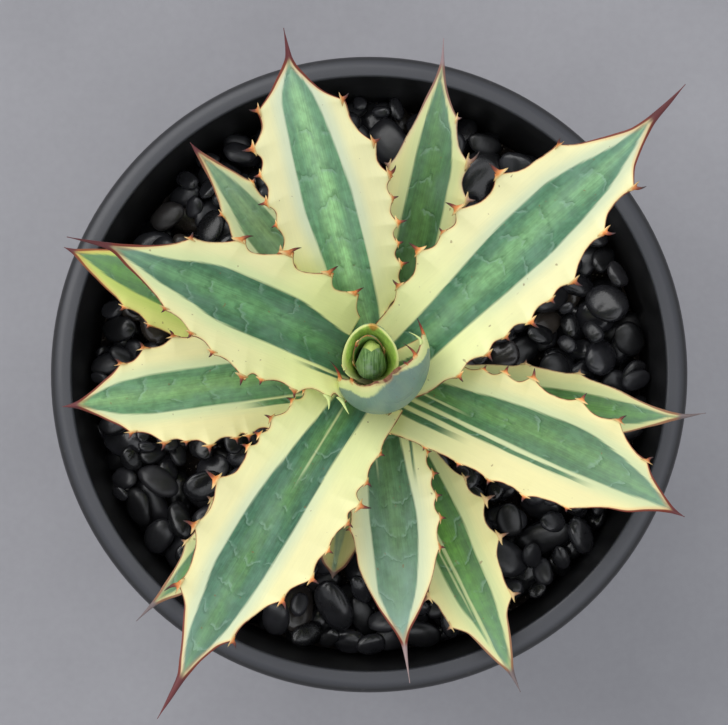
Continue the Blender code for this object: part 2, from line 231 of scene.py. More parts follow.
def leaf_material(name, seed, look, stripes=0, pales=0):
    """Green mid-band, cream margins, red-brown edge line and spine, all from the blade's attributes.

    blade is the offset from the leaf's line, the distance along it and the distance to the
    edge in millimetres. band is the green band's two sides in millimetres, and 1 on the leaf's
    underside. line is the edge line's width in millimetres, the spine's share and the share
    along. flesh is how far a tooth's fleshy foot stands out in millimetres, and how near the
    horny tip is.
    """
    surface = Surface(name)
    plus, less, times, over = surface.plus, surface.less, surface.times, surface.over
    ease, mix, shade = surface.ease, surface.mix, surface.shade
    offset, along, edge = surface.attribute("blade")
    low, high, under = surface.attribute("band")
    line, spine, share = surface.attribute("line")

    def pattern_place(across, down, depth):
        """The leaf's own place, stretched across and down, in a layer that is its own."""
        return surface.place(times(offset, across), times(along, down), float(depth))

    streak_place = pattern_place(0.9, 0.045, seed)
    fine_place = pattern_place(3.2, 0.10, seed + 7.0)
    cloud_place = pattern_place(0.16, 0.07, seed + 3.0)
    streak = surface.noise(streak_place, 1.0, 3.0, 0.6)
    fine = surface.noise(fine_place, 1.0, 2.0, 0.6)
    cloud = surface.noise(cloud_place, 1.0, 3.0, 0.55)

    wander = times(less(streak, 0.5), 0.9)
    flick = times(less(fine, 0.5), 0.45)
    place = plus(offset, plus(wander, flick))

    def inside(start, end):
        return surface.least(less(place, start), less(end, place))

    depth = inside(low, high)
    green_share = ease(depth, -0.40, 0.35)
    for number in range(stripes):
        start, end, strength = surface.attribute("stripe_" + str(number + 1))
        extra = times(ease(inside(start, end), -0.24, 0.20), strength)
        green_share = surface.most(green_share, extra)
    for number in range(pales):
        start, end, strength = surface.attribute("pale_" + str(number + 1))
        gone = times(ease(inside(start, end), -0.24, 0.20), strength)
        green_share = times(green_share, less(1.0, gone))

    centre = times(plus(low, high), 0.5)
    half = surface.most(times(less(high, low), 0.5), 0.3)
    from_centre = over(surface.magnitude(less(place, centre)), half)
    uneven = plus(times(cloud, 0.9), times(streak, 0.6))
    flank = ease(plus(from_centre, uneven), 0.72, 1.50)
    green = mix(flank, look["mid"], look["flank"])
    green = shade(streak, green, 0.86, 1.10)
    green = shade(fine, green, 0.88, 1.08, 0.34, 0.66)
    mottle_place = pattern_place(0.55, 0.42, seed + 11.0)
    mottle = surface.noise(mottle_place, 1.0, 4.0, 0.6)
    green = shade(mottle, green, 0.84, 1.12, 0.36, 0.64)
    # Bud imprints: arcs across the blade where printed lets them show. Each arc has a painted highlight
    # on one side and painted shade on the other, standing in for light on its relief, and also raises a
    # small bump.
    bow = times(times(from_centre, from_centre), 0.34)
    phase = plus(times(along, 0.125), bow)
    warp = plus(times(cloud, 1.6), times(mottle, 0.30))
    phase = plus(phase, warp)
    ring = surface.fraction(plus(phase, float(seed) * 0.37))
    painted_lit_side = times(ease(ring, 0.34, 0.46), ease(ring, 0.52, 0.47))
    painted_shaded_side = times(ease(ring, 0.49, 0.53), ease(ring, 0.74, 0.55))
    printed = ease(surface.noise(cloud_place, 2.3, 2.0), 0.44, 0.56)
    painted_lit_side = times(painted_lit_side, printed)
    painted_shaded_side = times(painted_shaded_side, printed)
    # Painted highlight in the wax colour, then painted shade in dark green, along the imprint arcs.
    green = mix(times(painted_lit_side, 0.32), green, look["wax"])
    green = mix(times(painted_shaded_side, 0.34), green, srgb(38, 84, 48))
    bloom = times(ease(cloud, 0.40, 0.75), look["bloom"])
    tip_bloom = times(ease(share, 0.55, 0.95), look["tip_bloom"])
    green = mix(plus(bloom, tip_bloom, clamp=True), green, look["wax"])
    green = mix(times(under, 0.75), green, look["back"])

    outward = times(depth, -1.0)
    cream = mix(ease(outward, 0.2, 4.2), look["near"], look["cream"])
    cream = mix(ease(share, 0.48, 0.16), cream, look["base_cream"])
    cream = mix(ease(edge, 1.6, 0.2, 0.0, 0.45), cream, look["edge_cream"])
    cream = shade(cloud, cream, 0.965, 1.02)
    cream = shade(fine, cream, 0.98, 1.01)

    colour = mix(green_share, cream, green)
    speck_place = pattern_place(1.0, 1.0, seed * 1.7)
    speck = ease(surface.noise(speck_place, 0.75, 1.0), 0.755, 0.80, 0.0, 0.55)
    colour = mix(speck, colour, srgb(128, 92, 58))

    patchy = surface.noise(surface.place(along, 0.0, float(seed)), 0.45, 2.0)
    worn = ease(patchy, 0.30, 0.62, 0.50, 1.0)
    flesh, horn, _ = surface.attribute("flesh")
    worn = surface.most(worn, horn)
    rim = times(ease(over(edge, line), 1.1, 0.60), worn)
    glow = times(ease(over(edge, line), 2.8, 0.9), worn)
    colour = mix(times(glow, 0.35), colour, look["tooth"])
    crest = less(times(flesh, 0.5), edge)
    colour = mix(ease(crest, 0.30, 1.15, 0.0, 0.90), colour, look["tooth"])
    colour = mix(rim, colour, look["rim"])
    spine_colour = shade(streak, look["spine"], 0.75, 1.25)
    colour = mix(spine, colour, spine_colour)
    colour = mix(times(under, 0.12), colour, look["back"])

    grain = plus(times(fine, 0.6), times(streak, 0.8))
    normal = surface.bump(grain, 0.00010, 0.35)
    normal = surface.bump(cloud, 0.0009, 0.35, normal)
    print_height = times(less(painted_lit_side, painted_shaded_side), green_share)
    normal = surface.bump(print_height, 0.00015, 0.5, normal)
    roughness = ease(cloud, 0.3, 0.7, look["gloss"], look["gloss"] + 0.12)
    return surface.finish(colour, roughness, normal, Specular_IOR_Level=0.42)


def tooth_material(name, look):
    """Teeth: pale at the foot, then orange and red-brown to a dark tip."""
    surface = Surface(name)
    share, tone, fresh = surface.attribute("tooth")
    place = surface.noise(surface.object_place(), 900.0, 2.0)
    reach = surface.plus(share, surface.times(surface.less(place, 0.5), 0.25))
    colour = surface.mix(surface.ease(reach, 0.0, 0.22), look["foot"], look["tooth"])
    colour = surface.mix(surface.ease(reach, 0.18, 0.55), colour, look["rim"])
    colour = surface.mix(surface.ease(reach, 0.50, 0.90), colour, look["point"])
    colour = surface.mix(fresh, colour, look["fresh"])
    colour = surface.shade(tone, colour, 0.80, 1.15)
    normal = surface.bump(place, 0.00006, 0.5)
    return surface.finish(colour, surface.ease(reach, 0.0, 1.0, 0.48, 0.34), normal)


def pot_material():
    """Satin black moulded plastic with a faint grain and a little dust; the top of its rim is painted
    paler, a painted sheen.
    """
    surface = Surface("satin_black_plastic")
    where = surface.object_place()
    grain = surface.noise(where, 2600.0, 2.0)
    cloud = surface.noise(where, 38.0, 4.0, 0.6)
    colour = surface.mix(surface.ease(cloud, 0.35, 0.75), srgb(21, 21, 23), srgb(29, 29, 32))
    dust = surface.ease(surface.noise(where, 420.0, 3.0, 0.7), 0.60, 0.74, 0.0, 0.18)
    colour = surface.mix(dust, colour, srgb(112, 108, 102))
    height = surface.add("ShaderNodeSeparateXYZ", {0: where}).outputs[2]
    # Painted sheen: the top of the rim is painted paler, as if lit from above.
    painted_rim_sheen = surface.ease(height, RIM_TOP - 0.0012, RIM_TOP - 0.0001, 0.0, 0.85)
    colour = surface.mix(painted_rim_sheen, colour, srgb(58, 59, 66))
    normal = surface.bump(grain, 0.00005, 0.5)
    normal = surface.bump(cloud, 0.0006, 0.10, normal)
    roughness = surface.ease(cloud, 0.3, 0.7, 0.33, 0.44)
    return surface.finish(colour, roughness, normal, Specular_IOR_Level=0.65)


def pebble_material():
    """Polished black river pebbles; a few are brownish grey."""
    surface = Surface("polished_black_pebbles")
    where = surface.object_place()
    tone, other, _ = surface.attribute("pebble")
    pits = surface.noise(where, 1500.0, 3.0, 0.6)
    cloud = surface.noise(where, 260.0, 3.0)
    colour = surface.mix(surface.ease(tone, 0.0, 0.9), srgb(25, 25, 27), srgb(46, 46, 50))
    colour = surface.mix(surface.ease(tone, 0.94, 0.99), colour, srgb(58, 52, 47))
    colour = surface.shade(cloud, colour, 0.75, 1.3)
    normal = surface.bump(pits, 0.00005, 0.45)
    normal = surface.bump(cloud, 0.0004, 0.25, normal)
    rough = surface.plus(surface.ease(other, 0.0, 1.0, 0.13, 0.32), surface.times(pits, 0.10))
    return surface.finish(colour, rough, normal, Specular_IOR_Level=0.62)


def soil_material():
    """Dark peat with pale grit and bark."""
    surface = Surface("peat_mix")
    where = surface.object_place()
    crumbs = surface.noise(where, 700.0, 5.0, 0.7)
    grit = surface.ease(surface.noise(where, 1300.0, 1.0), 0.66, 0.70)
    colour = surface.mix(surface.ease(crumbs, 0.3, 0.7), srgb(24, 18, 15), srgb(52, 40, 31))
    colour = surface.mix(grit, colour, srgb(150, 142, 130))
    return surface.finish(colour, 0.95, surface.bump(crumbs, 0.0012, 0.8))


def stem_material():
    """Pale fibrous stem with rings where leaves were."""
    surface = Surface("fibrous_stem")
    where = surface.object_place()
    parts = surface.add("ShaderNodeSeparateXYZ", {0: where}).outputs
    ring_place = surface.place(*(surface.times(part, tight)
                                 for part, tight in zip(parts, (60.0, 60.0, 900.0))))
    rings = surface.noise(ring_place, 1.0, 3.0)
    colour = surface.mix(surface.ease(rings, 0.3, 0.7), srgb(150, 138, 96), srgb(196, 190, 142))
    return surface.finish(colour, 0.7, surface.bump(rings, 0.0004, 0.6))


def floor_material():
    """Plain pale floor with the faintest mottling."""
    surface = Surface("pale_floor")
    cloud = surface.noise(surface.object_place(), 9.0, 5.0, 0.6)
    grain = surface.noise(surface.object_place(), 420.0, 3.0)
    colour = surface.mix(surface.ease(cloud, 0.3, 0.7), srgb(150, 149, 154), srgb(160, 159, 164))
    colour = surface.shade(grain, colour, 0.98, 1.02)
    return surface.finish(colour, 0.85, surface.bump(grain, 0.0002, 0.3))


# ---------------------------------------------------------------- meshes

def make_mesh(name, points, faces, material, slot, attributes=None):
    """A smooth-shaded mesh object that rides on the row's one body."""
    mesh = bpy.data.meshes.new(name)
    mesh.from_pydata(np.asarray(points, float).reshape(-1, 3).tolist(), [], faces)
    for key, values in (attributes or {}).items():
        layer = mesh.attributes.new(key, "FLOAT_VECTOR", "POINT")
        layer.data.foreach_set("vector", np.asarray(values, np.float32).reshape(-1))
    mesh.shade_smooth()
    mesh.materials.append(material)
    item = bpy.data.objects.new(name, mesh)
    bpy.context.scene.collection.objects.link(item)
    if slot:
        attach(item, "root")
    return item


def skin(rows, columns, first=0, closed=True):
    """Quads between the loops of a rows by columns grid, with a face on each end."""
    faces = []
    for row in range(rows - 1):
        for column in range(columns if closed else columns - 1):
            after = (column + 1) % columns
            low, high = first + row * columns, first + (row + 1) * columns
            faces.append((low + column, low + after, high + after, high + column))
    if closed:
        faces.append(tuple(range(first + columns - 1, first - 1, -1)))
        faces.append(tuple(range(first + (rows - 1) * columns, first + rows * columns)))
    return faces


# ---------------------------------------------------------------- leaf looks

def look(mid, flank, cream, near, base_cream, edge_cream, wax, back, tooth, rim, spine, point,
         foot, fresh=(214, 226, 150), bloom=0.25, tip_bloom=0.32, gloss=0.40):
    colours = dict(mid=mid, flank=flank, cream=cream, near=near, base_cream=base_cream,
                   edge_cream=edge_cream, wax=wax, back=back, tooth=tooth, rim=rim, spine=spine,
                   point=point, foot=foot, fresh=fresh)
    colours = {key: srgb(*value) for key, value in colours.items()}
    return dict(colours, bloom=bloom, tip_bloom=tip_bloom, gloss=gloss)


TOP_LOOK = dict(mid=(130, 178, 124), flank=(84, 132, 98), cream=(250, 245, 190), near=(216, 226, 188),
                base_cream=(252, 255, 188), edge_cream=(252, 238, 170), wax=(150, 182, 164),
                back=(120, 150, 134), tooth=(226, 138, 70), rim=(122, 52, 34), spine=(98, 44, 46),
                point=(54, 28, 30), foot=(248, 214, 146))


def changed(**changes):
    """The upper leaves' look with some of its colours and measures changed."""
    return look(**dict(TOP_LOOK, **changes))


LOOKS = {
    "northeast": changed(),
    "west": changed(mid=(108, 160, 106), flank=(72, 120, 84), cream=(250, 246, 184),
        near=(224, 236, 176), base_cream=(250, 255, 178)),
    # Painted shade: this leaf's cream is a darker copy of the upper leaves' cream, darkened for how the
    # lamps light this leaf.
    "southwest": changed(mid=(94, 138, 84), flank=(70, 114, 86), cream=(244, 238, 180),
        base_cream=(240, 244, 178)),
    "north": changed(mid=(164, 216, 150), flank=(108, 158, 114), near=(224, 234, 200)),
    # Painted shade: this leaf's cream is a darker copy of the upper leaves' cream, darkened for how the
    # lamps light this leaf.
    "southeast": changed(mid=(98, 142, 80), flank=(74, 118, 74), cream=(236, 228, 168),
        near=(206, 216, 166), base_cream=(220, 226, 164), bloom=0.15),
    "middle": changed(mid=(132, 176, 112), flank=(96, 144, 96), cream=(248, 240, 180),
        near=(220, 230, 180), tip_bloom=0.1),
    "frosted": changed(mid=(96, 134, 88), flank=(82, 122, 86), cream=(242, 238, 184),
        near=(216, 226, 186), spine=(150, 128, 126), bloom=0.3, tip_bloom=0.8),
    "old": changed(mid=(92, 136, 74), flank=(74, 118, 70), cream=(240, 234, 166), near=(218, 226, 164),
        base_cream=(196, 210, 130), edge_cream=(226, 204, 168), tooth=(208, 168, 132),
        rim=(142, 104, 90), spine=(150, 126, 128), point=(70, 54, 54)),
    "lower": changed(mid=(94, 150, 54), flank=(76, 124, 56), cream=(240, 234, 164),
        near=(214, 224, 160), tooth=(232, 196, 140), rim=(158, 112, 80), spine=(112, 98, 98),
        point=(84, 64, 60), bloom=0.15),
    "pale_green": changed(mid=(138, 170, 118), flank=(112, 148, 104), cream=(242, 238, 182),
        near=(216, 226, 176), rim=(150, 96, 70)),
    "yellow": changed(mid=(102, 156, 40), flank=(82, 130, 40), cream=(236, 238, 140),
        near=(204, 220, 116), base_cream=(206, 222, 120), edge_cream=(238, 230, 136),
        rim=(150, 84, 50), bloom=0.1),
    "withered": changed(mid=(128, 134, 76), flank=(112, 118, 66), cream=(198, 186, 124),
        near=(170, 168, 106), base_cream=(170, 160, 96), edge_cream=(176, 142, 92),
        tooth=(170, 112, 70), rim=(104, 62, 42), spine=(96, 74, 64), bloom=0.1),
}

# Leaves, from the highest to the lowest. slopes are the leaf line's, in degrees, where it leaves
# the stem and at its tip. reach is the tip's plan distance from the plant's axis and rise how far
# the tip stands over the line's start, both in metres. channel is the half-angle that the section
# is bent to, and spine the share along at which the blade ends and the terminal spine begins.
# left and right are the two edges, and low and high the green band's two sides: a share along and
# the offset there in millimetres, left of the leaf's line positive as seen from the stem. stripes
# are green stripes in the cream and pales pale ones in the green: where each begins and ends
# along, its two offsets, and its strength where that isn't 1. Teeth are the share along, the height
# in millimetres, the lean towards the tip, and 1 where the tooth is still fresh. wing is how far
# each edge's foot runs on past the stem, in millimetres.
LEAVES = (
    dict(name="inner_leaf_west", look="west", azimuth=160.0, slopes=(53, 38),
         reach=0.076, rise=0.0632, channel=24, spine=0.88, wing=(15.0, 0.0),
         left=((0, 10.0), (0.05, 10.6), (0.16, 12.2), (0.3, 13.6), (0.36, 14.0), (0.42, 13.4),
            (0.5, 11.3), (0.6, 8.4), (0.7, 5.0), (0.8, 1.4), (0.88, -0.9), (1, 0)),
         right=((0, -8), (0.1, -10.5), (0.16, -13.3), (0.3, -14.3), (0.42, -14.2), (0.52, -13.0),
            (0.6, -12.0), (0.7, -8.3), (0.8, -4.6), (0.88, -2.6), (1, 0)),
         low=((0, -4), (0.1, -4.4), (0.3, -7.8), (0.5, -8.0), (0.6, -6.8), (0.7, -4.6), (0.8, -3.3),
            (0.9, -2)),
         high=((0, 5.5), (0.1, 5.8), (0.3, 5.4), (0.5, 5.0), (0.6, 3.2), (0.7, 1.7), (0.8, -0.3),
            (0.9, -1.6)),
         stripes=(((0.0, 0.26), 6.3, 7.1),),
         teeth_left=((0.045, 2.3, -0.3, 1), (0.09, 2.0, 0.1, 1), (0.2, 2.2, 0.2), (0.31, 1.6, 0.2),
            (0.37, 2.8, 0.3), (0.48, 1.8, 0.4), (0.56, 1.6, 0.5), (0.66, 1.3, 0.6)),
         teeth_right=((0.13, 3.0, -0.5), (0.23, 3.4, -0.6), (0.37, 3.8, -0.7), (0.52, 3.4, -0.8),
            (0.66, 1.6, 0.2))),
    dict(name="inner_leaf_northeast", look="northeast", azimuth=40.0, slopes=(44, 29),
         reach=0.098, rise=0.0594, channel=20, spine=0.895, wing=(0.0, 15.0),
         left=((0, 6), (0.1, 6.8), (0.18, 8.2), (0.27, 10.4), (0.34, 11.4), (0.42, 11.6), (0.5, 11.3),
            (0.6, 10.4), (0.68, 8.8), (0.74, 5.6), (0.8, 2.5), (0.85, 0.6), (0.895, 0.0),
            (0.95, -0.1), (1, 0)),
         right=((0, -13.5), (0.08, -16.0), (0.2, -16.5), (0.3, -17.0), (0.42, -17.4), (0.5, -17.0),
            (0.58, -14.5), (0.66, -11.6), (0.76, -9.0), (0.8, -6.4), (0.85, -3.9), (0.895, -2.1),
            (0.95, -1.1), (1, 0)),
         low=((0, -9), (0.1, -9.5), (0.3, -9.5), (0.5, -9.5), (0.6, -8.5), (0.7, -7.0), (0.8, -4.0),
            (0.88, -1.2)),
         high=((0, -0.5), (0.1, 0), (0.3, 2.0), (0.5, 4.2), (0.6, 4.3), (0.7, 2.5), (0.8, 0),
            (0.88, -0.8)),
         teeth_left=((0.18, 2.2, 0.1), (0.275, 3.4, 0.0), (0.345, 1.2, 0.2), (0.41, 3.6, -0.2),
            (0.54, 3.8, 0.0), (0.69, 1.3, 0.9)),
         teeth_right=((0.15, 2.0, 0.2), (0.24, 2.2, 0.2), (0.3, 1.4, 0.2), (0.37, 2.6, 0.4),
            (0.44, 1.4, 0.2), (0.51, 2.4, 0.5), (0.64, 2.9, 0.9), (0.76, 2.4, 1.1))),
    dict(name="inner_leaf_southwest", look="southwest", azimuth=240.0, slopes=(44, 25),
         reach=0.1015, rise=0.0517, channel=20, spine=0.895,
         left=((0, 11.5), (0.05, 13.4), (0.2, 13.5), (0.3, 14.0), (0.4, 14.8), (0.46, 14.3),
            (0.55, 13.6), (0.6, 10.9), (0.7, 6.9), (0.75, 5.0), (0.8, 3.2), (0.85, 1.7),
            (0.895, 0.9), (0.95, 0.5), (1, 0)),
         right=((0, -8), (0.15, -10), (0.2, -11.2), (0.26, -13.0), (0.4, -14.5), (0.5, -15.3),
            (0.6, -13.6), (0.7, -10.4), (0.75, -8.0), (0.8, -5.5), (0.85, -3.2), (0.895, -1.2),
            (0.95, -0.5), (1, 0)),
         low=((0, -3), (0.1, -3.2), (0.3, -5.8), (0.5, -7.5), (0.6, -7.5), (0.7, -6.0), (0.8, -3.8),
            (0.88, -0.7)),
         high=((0, 5.8), (0.1, 5.8), (0.3, 5.0), (0.5, 5.0), (0.6, 4.7), (0.7, 4.0), (0.8, 2.0),
            (0.88, 0.1)),
         pales=(((0.14, 0.4), -0.3, 0.1, 0.55),),
         teeth_left=((0.19, 1.0, 0.1), (0.27, 1.6, 0.2), (0.33, 3.2, -0.2), (0.38, 1.6, 0.2),
            (0.46, 1.2, 0.1), (0.54, 2.2, 0.3), (0.62, 2.2, 0.6), (0.76, 1.9, 0.7)),
         teeth_right=((0.145, 1.6, 0.2), (0.185, 1.6, 0.2), (0.25, 1.9, 0.2), (0.3, 1.6, 0.1),
            (0.34, 1.8, 0.2), (0.45, 3.8, -0.2), (0.57, 3.2, 0.3), (0.71, 3.3, 1.0))),
    dict(name="inner_leaf_north", look="north", azimuth=105.0, slopes=(43, 34),
         reach=0.08, rise=0.0589, channel=20, spine=0.92,
         left=((0, 6), (0.15, 8.0), (0.3, 11.2), (0.4, 12.8), (0.5, 13.3), (0.6, 13.6), (0.68, 13.0),
            (0.75, 11.0), (0.8, 9.4), (0.85, 6.2), (0.9, 2.6), (0.925, 1.3), (1, 0)),
         right=((0, -4), (0.12, -5.5), (0.16, -9.0), (0.2, -12.2), (0.3, -13.0), (0.4, -14.2),
            (0.5, -14.8), (0.6, -13.8), (0.65, -12.2), (0.7, -10.6), (0.75, -9.2), (0.8, -5.8),
            (0.85, -2.8), (0.9, -0.6), (0.925, -0.2), (1, 0)),
         low=((0, -4), (0.1, -5), (0.2, -6), (0.4, -6.3), (0.5, -6.2), (0.6, -5.5), (0.7, -4.5),
            (0.8, -3), (0.9, 0.6)),
         high=((0, 1), (0.1, 2), (0.2, 3.8), (0.4, 5.3), (0.5, 6.2), (0.6, 6.0), (0.7, 5.5), (0.8, 5.0),
            (0.9, 1.5)),
         teeth_left=((0.3, 1.4, 0.1), (0.39, 3.4, 0.1), (0.47, 1.2, 0.1), (0.54, 2.4, 0.2),
            (0.62, 1.6, 0.2), (0.7, 3.2, 0.3), (0.8, 2.4, 0.5)),
         teeth_right=((0.13, 1.6, 0.1), (0.19, 2.0, 0.1), (0.27, 2.0, 0.2), (0.33, 1.4, 0.2),
            (0.39, 2.4, 0.2), (0.46, 1.4, 0.2), (0.53, 2.9, 0.8), (0.63, 2.4, 0.3),
            (0.77, 2.2, 0.6))),
    dict(name="inner_leaf_southeast", look="southeast", azimuth=332.5, slopes=(38, 25),
         reach=0.086, rise=0.0461, channel=20, spine=0.965,
         left=((0, 6), (0.15, 8.0), (0.25, 9.5), (0.3, 10.4), (0.4, 12.0), (0.5, 12.9), (0.62, 13.1),
            (0.7, 12.9), (0.75, 11.3), (0.8, 9.0), (0.9, 3.9), (0.95, 1.4), (0.965, 0.8), (1, 0)),
         right=((0, -11), (0.15, -13.4), (0.3, -12.7), (0.5, -12.5), (0.6, -11.8), (0.7, -10.5),
            (0.75, -8.6), (0.8, -6.6), (0.85, -5.2), (0.9, -2.9), (0.95, -1.0), (0.965, -0.6),
            (1, 0)),
         low=((0, -2.4), (0.2, -2.7), (0.5, -2.7), (0.6, -2.6), (0.7, -2.1), (0.8, -1.4), (0.9, -0.4),
            (0.97, 0)),
         high=((0, 2.5), (0.2, 3.6), (0.4, 6.3), (0.5, 7.5), (0.65, 8.3), (0.75, 6.9), (0.85, 4.5),
            (0.95, 1.0), (0.97, 0.5)),
         stripes=(((0.05, 0.76), -5.1, -3.9), ((0.05, 0.38), -7.9, -6.3)),
         pales=(((0.1, 0.36), -1.1, -0.6, 0.8),),
         teeth_left=((0.24, 1.2, 0.1), (0.31, 1.0, 0.2), (0.37, 2.0, 0.2), (0.45, 2.6, -0.3),
            (0.6, 2.2, 0.2), (0.72, 2.2, 0.4), (0.84, 1.7, 0.7)),
         teeth_right=((0.14, 1.0, 0.1), (0.26, 0.6, 0.1), (0.37, 0.8, 0.2), (0.47, 1.2, 0.2),
            (0.58, 1.5, 0.3), (0.7, 0.7, 0.3))),
    dict(name="middle_leaf_west", look="middle", azimuth=189.0, slopes=(33, 18),
         reach=0.0775, rise=0.0283, channel=20, spine=0.955,
         left=((0, 6), (0.2, 9), (0.35, 12.0), (0.45, 13.0), (0.55, 13.6), (0.62, 12.8), (0.7, 11.2),
            (0.8, 7.8), (0.85, 5.8), (0.9, 3.4), (0.955, 1.0), (1, 0)),
         right=((0, -8), (0.3, -12.0), (0.5, -12.9), (0.6, -12.6), (0.7, -10.8), (0.8, -7.5),
            (0.85, -5.5), (0.9, -3.1), (0.955, -0.8), (1, 0)),
         low=((0, -5), (0.3, -5), (0.7, -4.9), (0.8, -4.2), (0.9, -1.9), (0.96, 0)),
         high=((0, 5), (0.3, 5), (0.7, 4.9), (0.8, 4.2), (0.9, 1.9), (0.96, 0.2)),
         stripes=(((0.0, 0.46), 5.6, 7.0),),
         teeth_left=((0.28, 1.2, 0.1), (0.35, 2.0, 0.2), (0.43, 1.6, 0.2), (0.47, 1.4, 0.1),
            (0.56, 2.2, 0.3), (0.63, 1.0, 0.2), (0.7, 2.0, 0.5), (0.8, 1.6, 0.6)),
         teeth_right=((0.42, 1.6, 0.2), (0.52, 1.8, 0.2), (0.62, 1.8, 0.3), (0.72, 1.9, 0.5),
            (0.8, 1.6, 0.6))),
    dict(name="middle_leaf_north", look="old", azimuth=77.0, slopes=(36, 20),
         reach=0.0815, rise=0.0355, channel=24, spine=0.93,
         left=((0, 3), (0.3, 4.2), (0.48, 5.3), (0.55, 6.1), (0.6, 5.6), (0.7, 3.5), (0.8, 1.4),
            (0.88, 0), (0.93, -0.5), (1, 0)),
         right=((0, -10), (0.3, -13.0), (0.5, -13.4), (0.6, -12.4), (0.68, -10.2), (0.75, -8.3),
            (0.8, -6.3), (0.85, -4.0), (0.93, -1.6), (1, 0)),
         low=((0, -8), (0.2, -8.5), (0.4, -9.5), (0.6, -9.4), (0.7, -8.0), (0.8, -4.8), (0.88, -1.8)),
         high=((0, 0), (0.2, 0), (0.4, 0.3), (0.6, 0.3), (0.7, 0.2), (0.8, -0.4), (0.88, -1.0)),
         teeth_left=((0.44, 1.4, 0.1), (0.6, 1.4, 0.3)),
         teeth_right=((0.33, 1.6, 0.1), (0.44, 1.6, 0.1), (0.55, 2.6, 0.3), (0.66, 3.4, 1.0),
            (0.78, 1.0, 0.4))),
    dict(name="middle_leaf_south", look="frosted", azimuth=277.0, slopes=(33, 16),
         reach=0.0815, rise=0.0277, channel=20, spine=0.89,
         left=((0, 7), (0.25, 11.0), (0.35, 11.5), (0.5, 11.9), (0.6, 11.0), (0.7, 8.6), (0.77, 5.6),
            (0.8, 4.0), (0.85, 1.5), (0.89, 0.5), (1, 0)),
         right=((0, -6), (0.3, -9.0), (0.45, -9.6), (0.6, -9.5), (0.7, -7.5), (0.75, -6.0), (0.8, -3.9),
            (0.85, -1.9), (0.89, -0.8), (1, 0)),
         low=((0, -4), (0.2, -4), (0.4, -4.5), (0.5, -5), (0.6, -5), (0.7, -5), (0.8, -3),
            (0.87, -0.7)),
         high=((0, 4), (0.2, 5), (0.4, 6.3), (0.5, 7), (0.6, 6.4), (0.7, 5), (0.8, 2), (0.87, 0.3)),
         stripes=(((0.16, 0.42), 7.5, 8.1),),
         pales=(((0.14, 0.4), -1.6, -1.2, 0.6),),
         teeth_left=((0.3, 0.9, 0.1), (0.37, 1.4, 0.2), (0.44, 1.4, 0.2), (0.51, 1.4, 0.3),
            (0.6, 1.3, 0.4)),
         teeth_right=((0.33, 0.9, 0.1), (0.41, 1.3, 0.2), (0.51, 0.9, 0.3))),
    dict(name="outer_leaf_northwest", look="pale_green", azimuth=129.5, slopes=(31, 18),
         reach=0.0715, rise=0.0249, channel=22, spine=0.96,
         left=((0, 5), (0.4, 8.0), (0.55, 8.2), (0.65, 7.0), (0.7, 5.6), (0.8, 3.4), (0.9, 1.5),
            (0.96, 0.7), (1, 0)),
         right=((0, -4), (0.4, -5.4), (0.6, -6.0), (0.7, -5.8), (0.8, -4.8), (0.9, -2.1), (0.96, -0.7),
            (1, 0)),
         low=((0, -3), (0.3, -4), (0.6, -4.5), (0.8, -2.7), (0.93, -0.4)),
         high=((0, 3), (0.3, 4), (0.6, 4), (0.8, 1.7), (0.93, 0.2)),
         teeth_left=((0.48, 1.2, 0.2), (0.6, 1.2, 0.3), (0.74, 1.0, 0.4)),
         teeth_right=((0.52, 1.2, 0.2), (0.66, 1.4, 0.3), (0.76, 1.0, 0.4))),
    dict(name="outer_leaf_east", look="lower", azimuth=351.0, slopes=(29, 16),
         reach=0.0855, rise=0.0291, channel=22, spine=0.93,
         left=((0, 3), (0.3, 4.0), (0.4, 5.0), (0.5, 5.5), (0.6, 4.9), (0.7, 3.6), (0.8, 1.0),
            (0.9, -0.9), (0.93, -1.0), (1, 0)),
         right=((0, -8), (0.4, -10.2), (0.6, -10.4), (0.77, -8.0), (0.85, -5.4), (0.9, -3.5),
            (0.93, -2.5), (1, 0)),
         low=((0, -6), (0.3, -7), (0.6, -7.4), (0.8, -5.2), (0.9, -2.4)),
         high=((0, 0.5), (0.3, 0.8), (0.6, 0.8), (0.8, -0.6), (0.9, -1.8)),
         teeth_left=((0.46, 0.9, 0.1), (0.62, 1.0, 0.3)),
         teeth_right=((0.55, 1.2, 0.2), (0.7, 1.4, 0.3))),
    dict(name="outer_leaf_southwest", look="lower", azimuth=228.0, slopes=(27, 13),
         reach=0.0885, rise=0.0213, channel=20, spine=0.93,
         left=((0, 5), (0.4, 8.6), (0.6, 8.8), (0.72, 7.0), (0.85, 4.2), (0.9, 2.0), (0.93, 1.0),
            (1, 0)),
         right=((0, -5), (0.4, -6.8), (0.6, -6.0), (0.75, -3.4), (0.85, -1.4), (0.93, -0.4), (1, 0)),
         low=((0, -3), (0.5, -3), (0.75, -1.6), (0.92, 0)),
         high=((0, 3), (0.5, 4.5), (0.75, 4.0), (0.92, 0.6)),
         teeth_left=((0.55, 1.2, 0.2), (0.7, 1.1, 0.3)),
         teeth_right=((0.6, 1.2, 0.2), (0.74, 1.1, 0.3))),
    dict(name="outer_leaf_south", look="lower", azimuth=294.5, slopes=(26, 14),
         reach=0.092, rise=0.0235, channel=20, spine=0.94,
         left=((0, 4), (0.3, 6.5), (0.4, 9.2), (0.5, 10.4), (0.6, 9.6), (0.7, 8.2), (0.8, 5.1),
            (0.9, 2.2), (0.94, 0.8), (1, 0)),
         right=((0, -5), (0.4, -8.8), (0.6, -9.8), (0.7, -9.8), (0.76, -8.4), (0.8, -5.8), (0.9, -2.4),
            (0.94, -0.8), (1, 0)),
         low=((0, -4), (0.3, -5), (0.5, -5.5), (0.6, -5.5), (0.7, -5), (0.8, -3), (0.9, -1)),
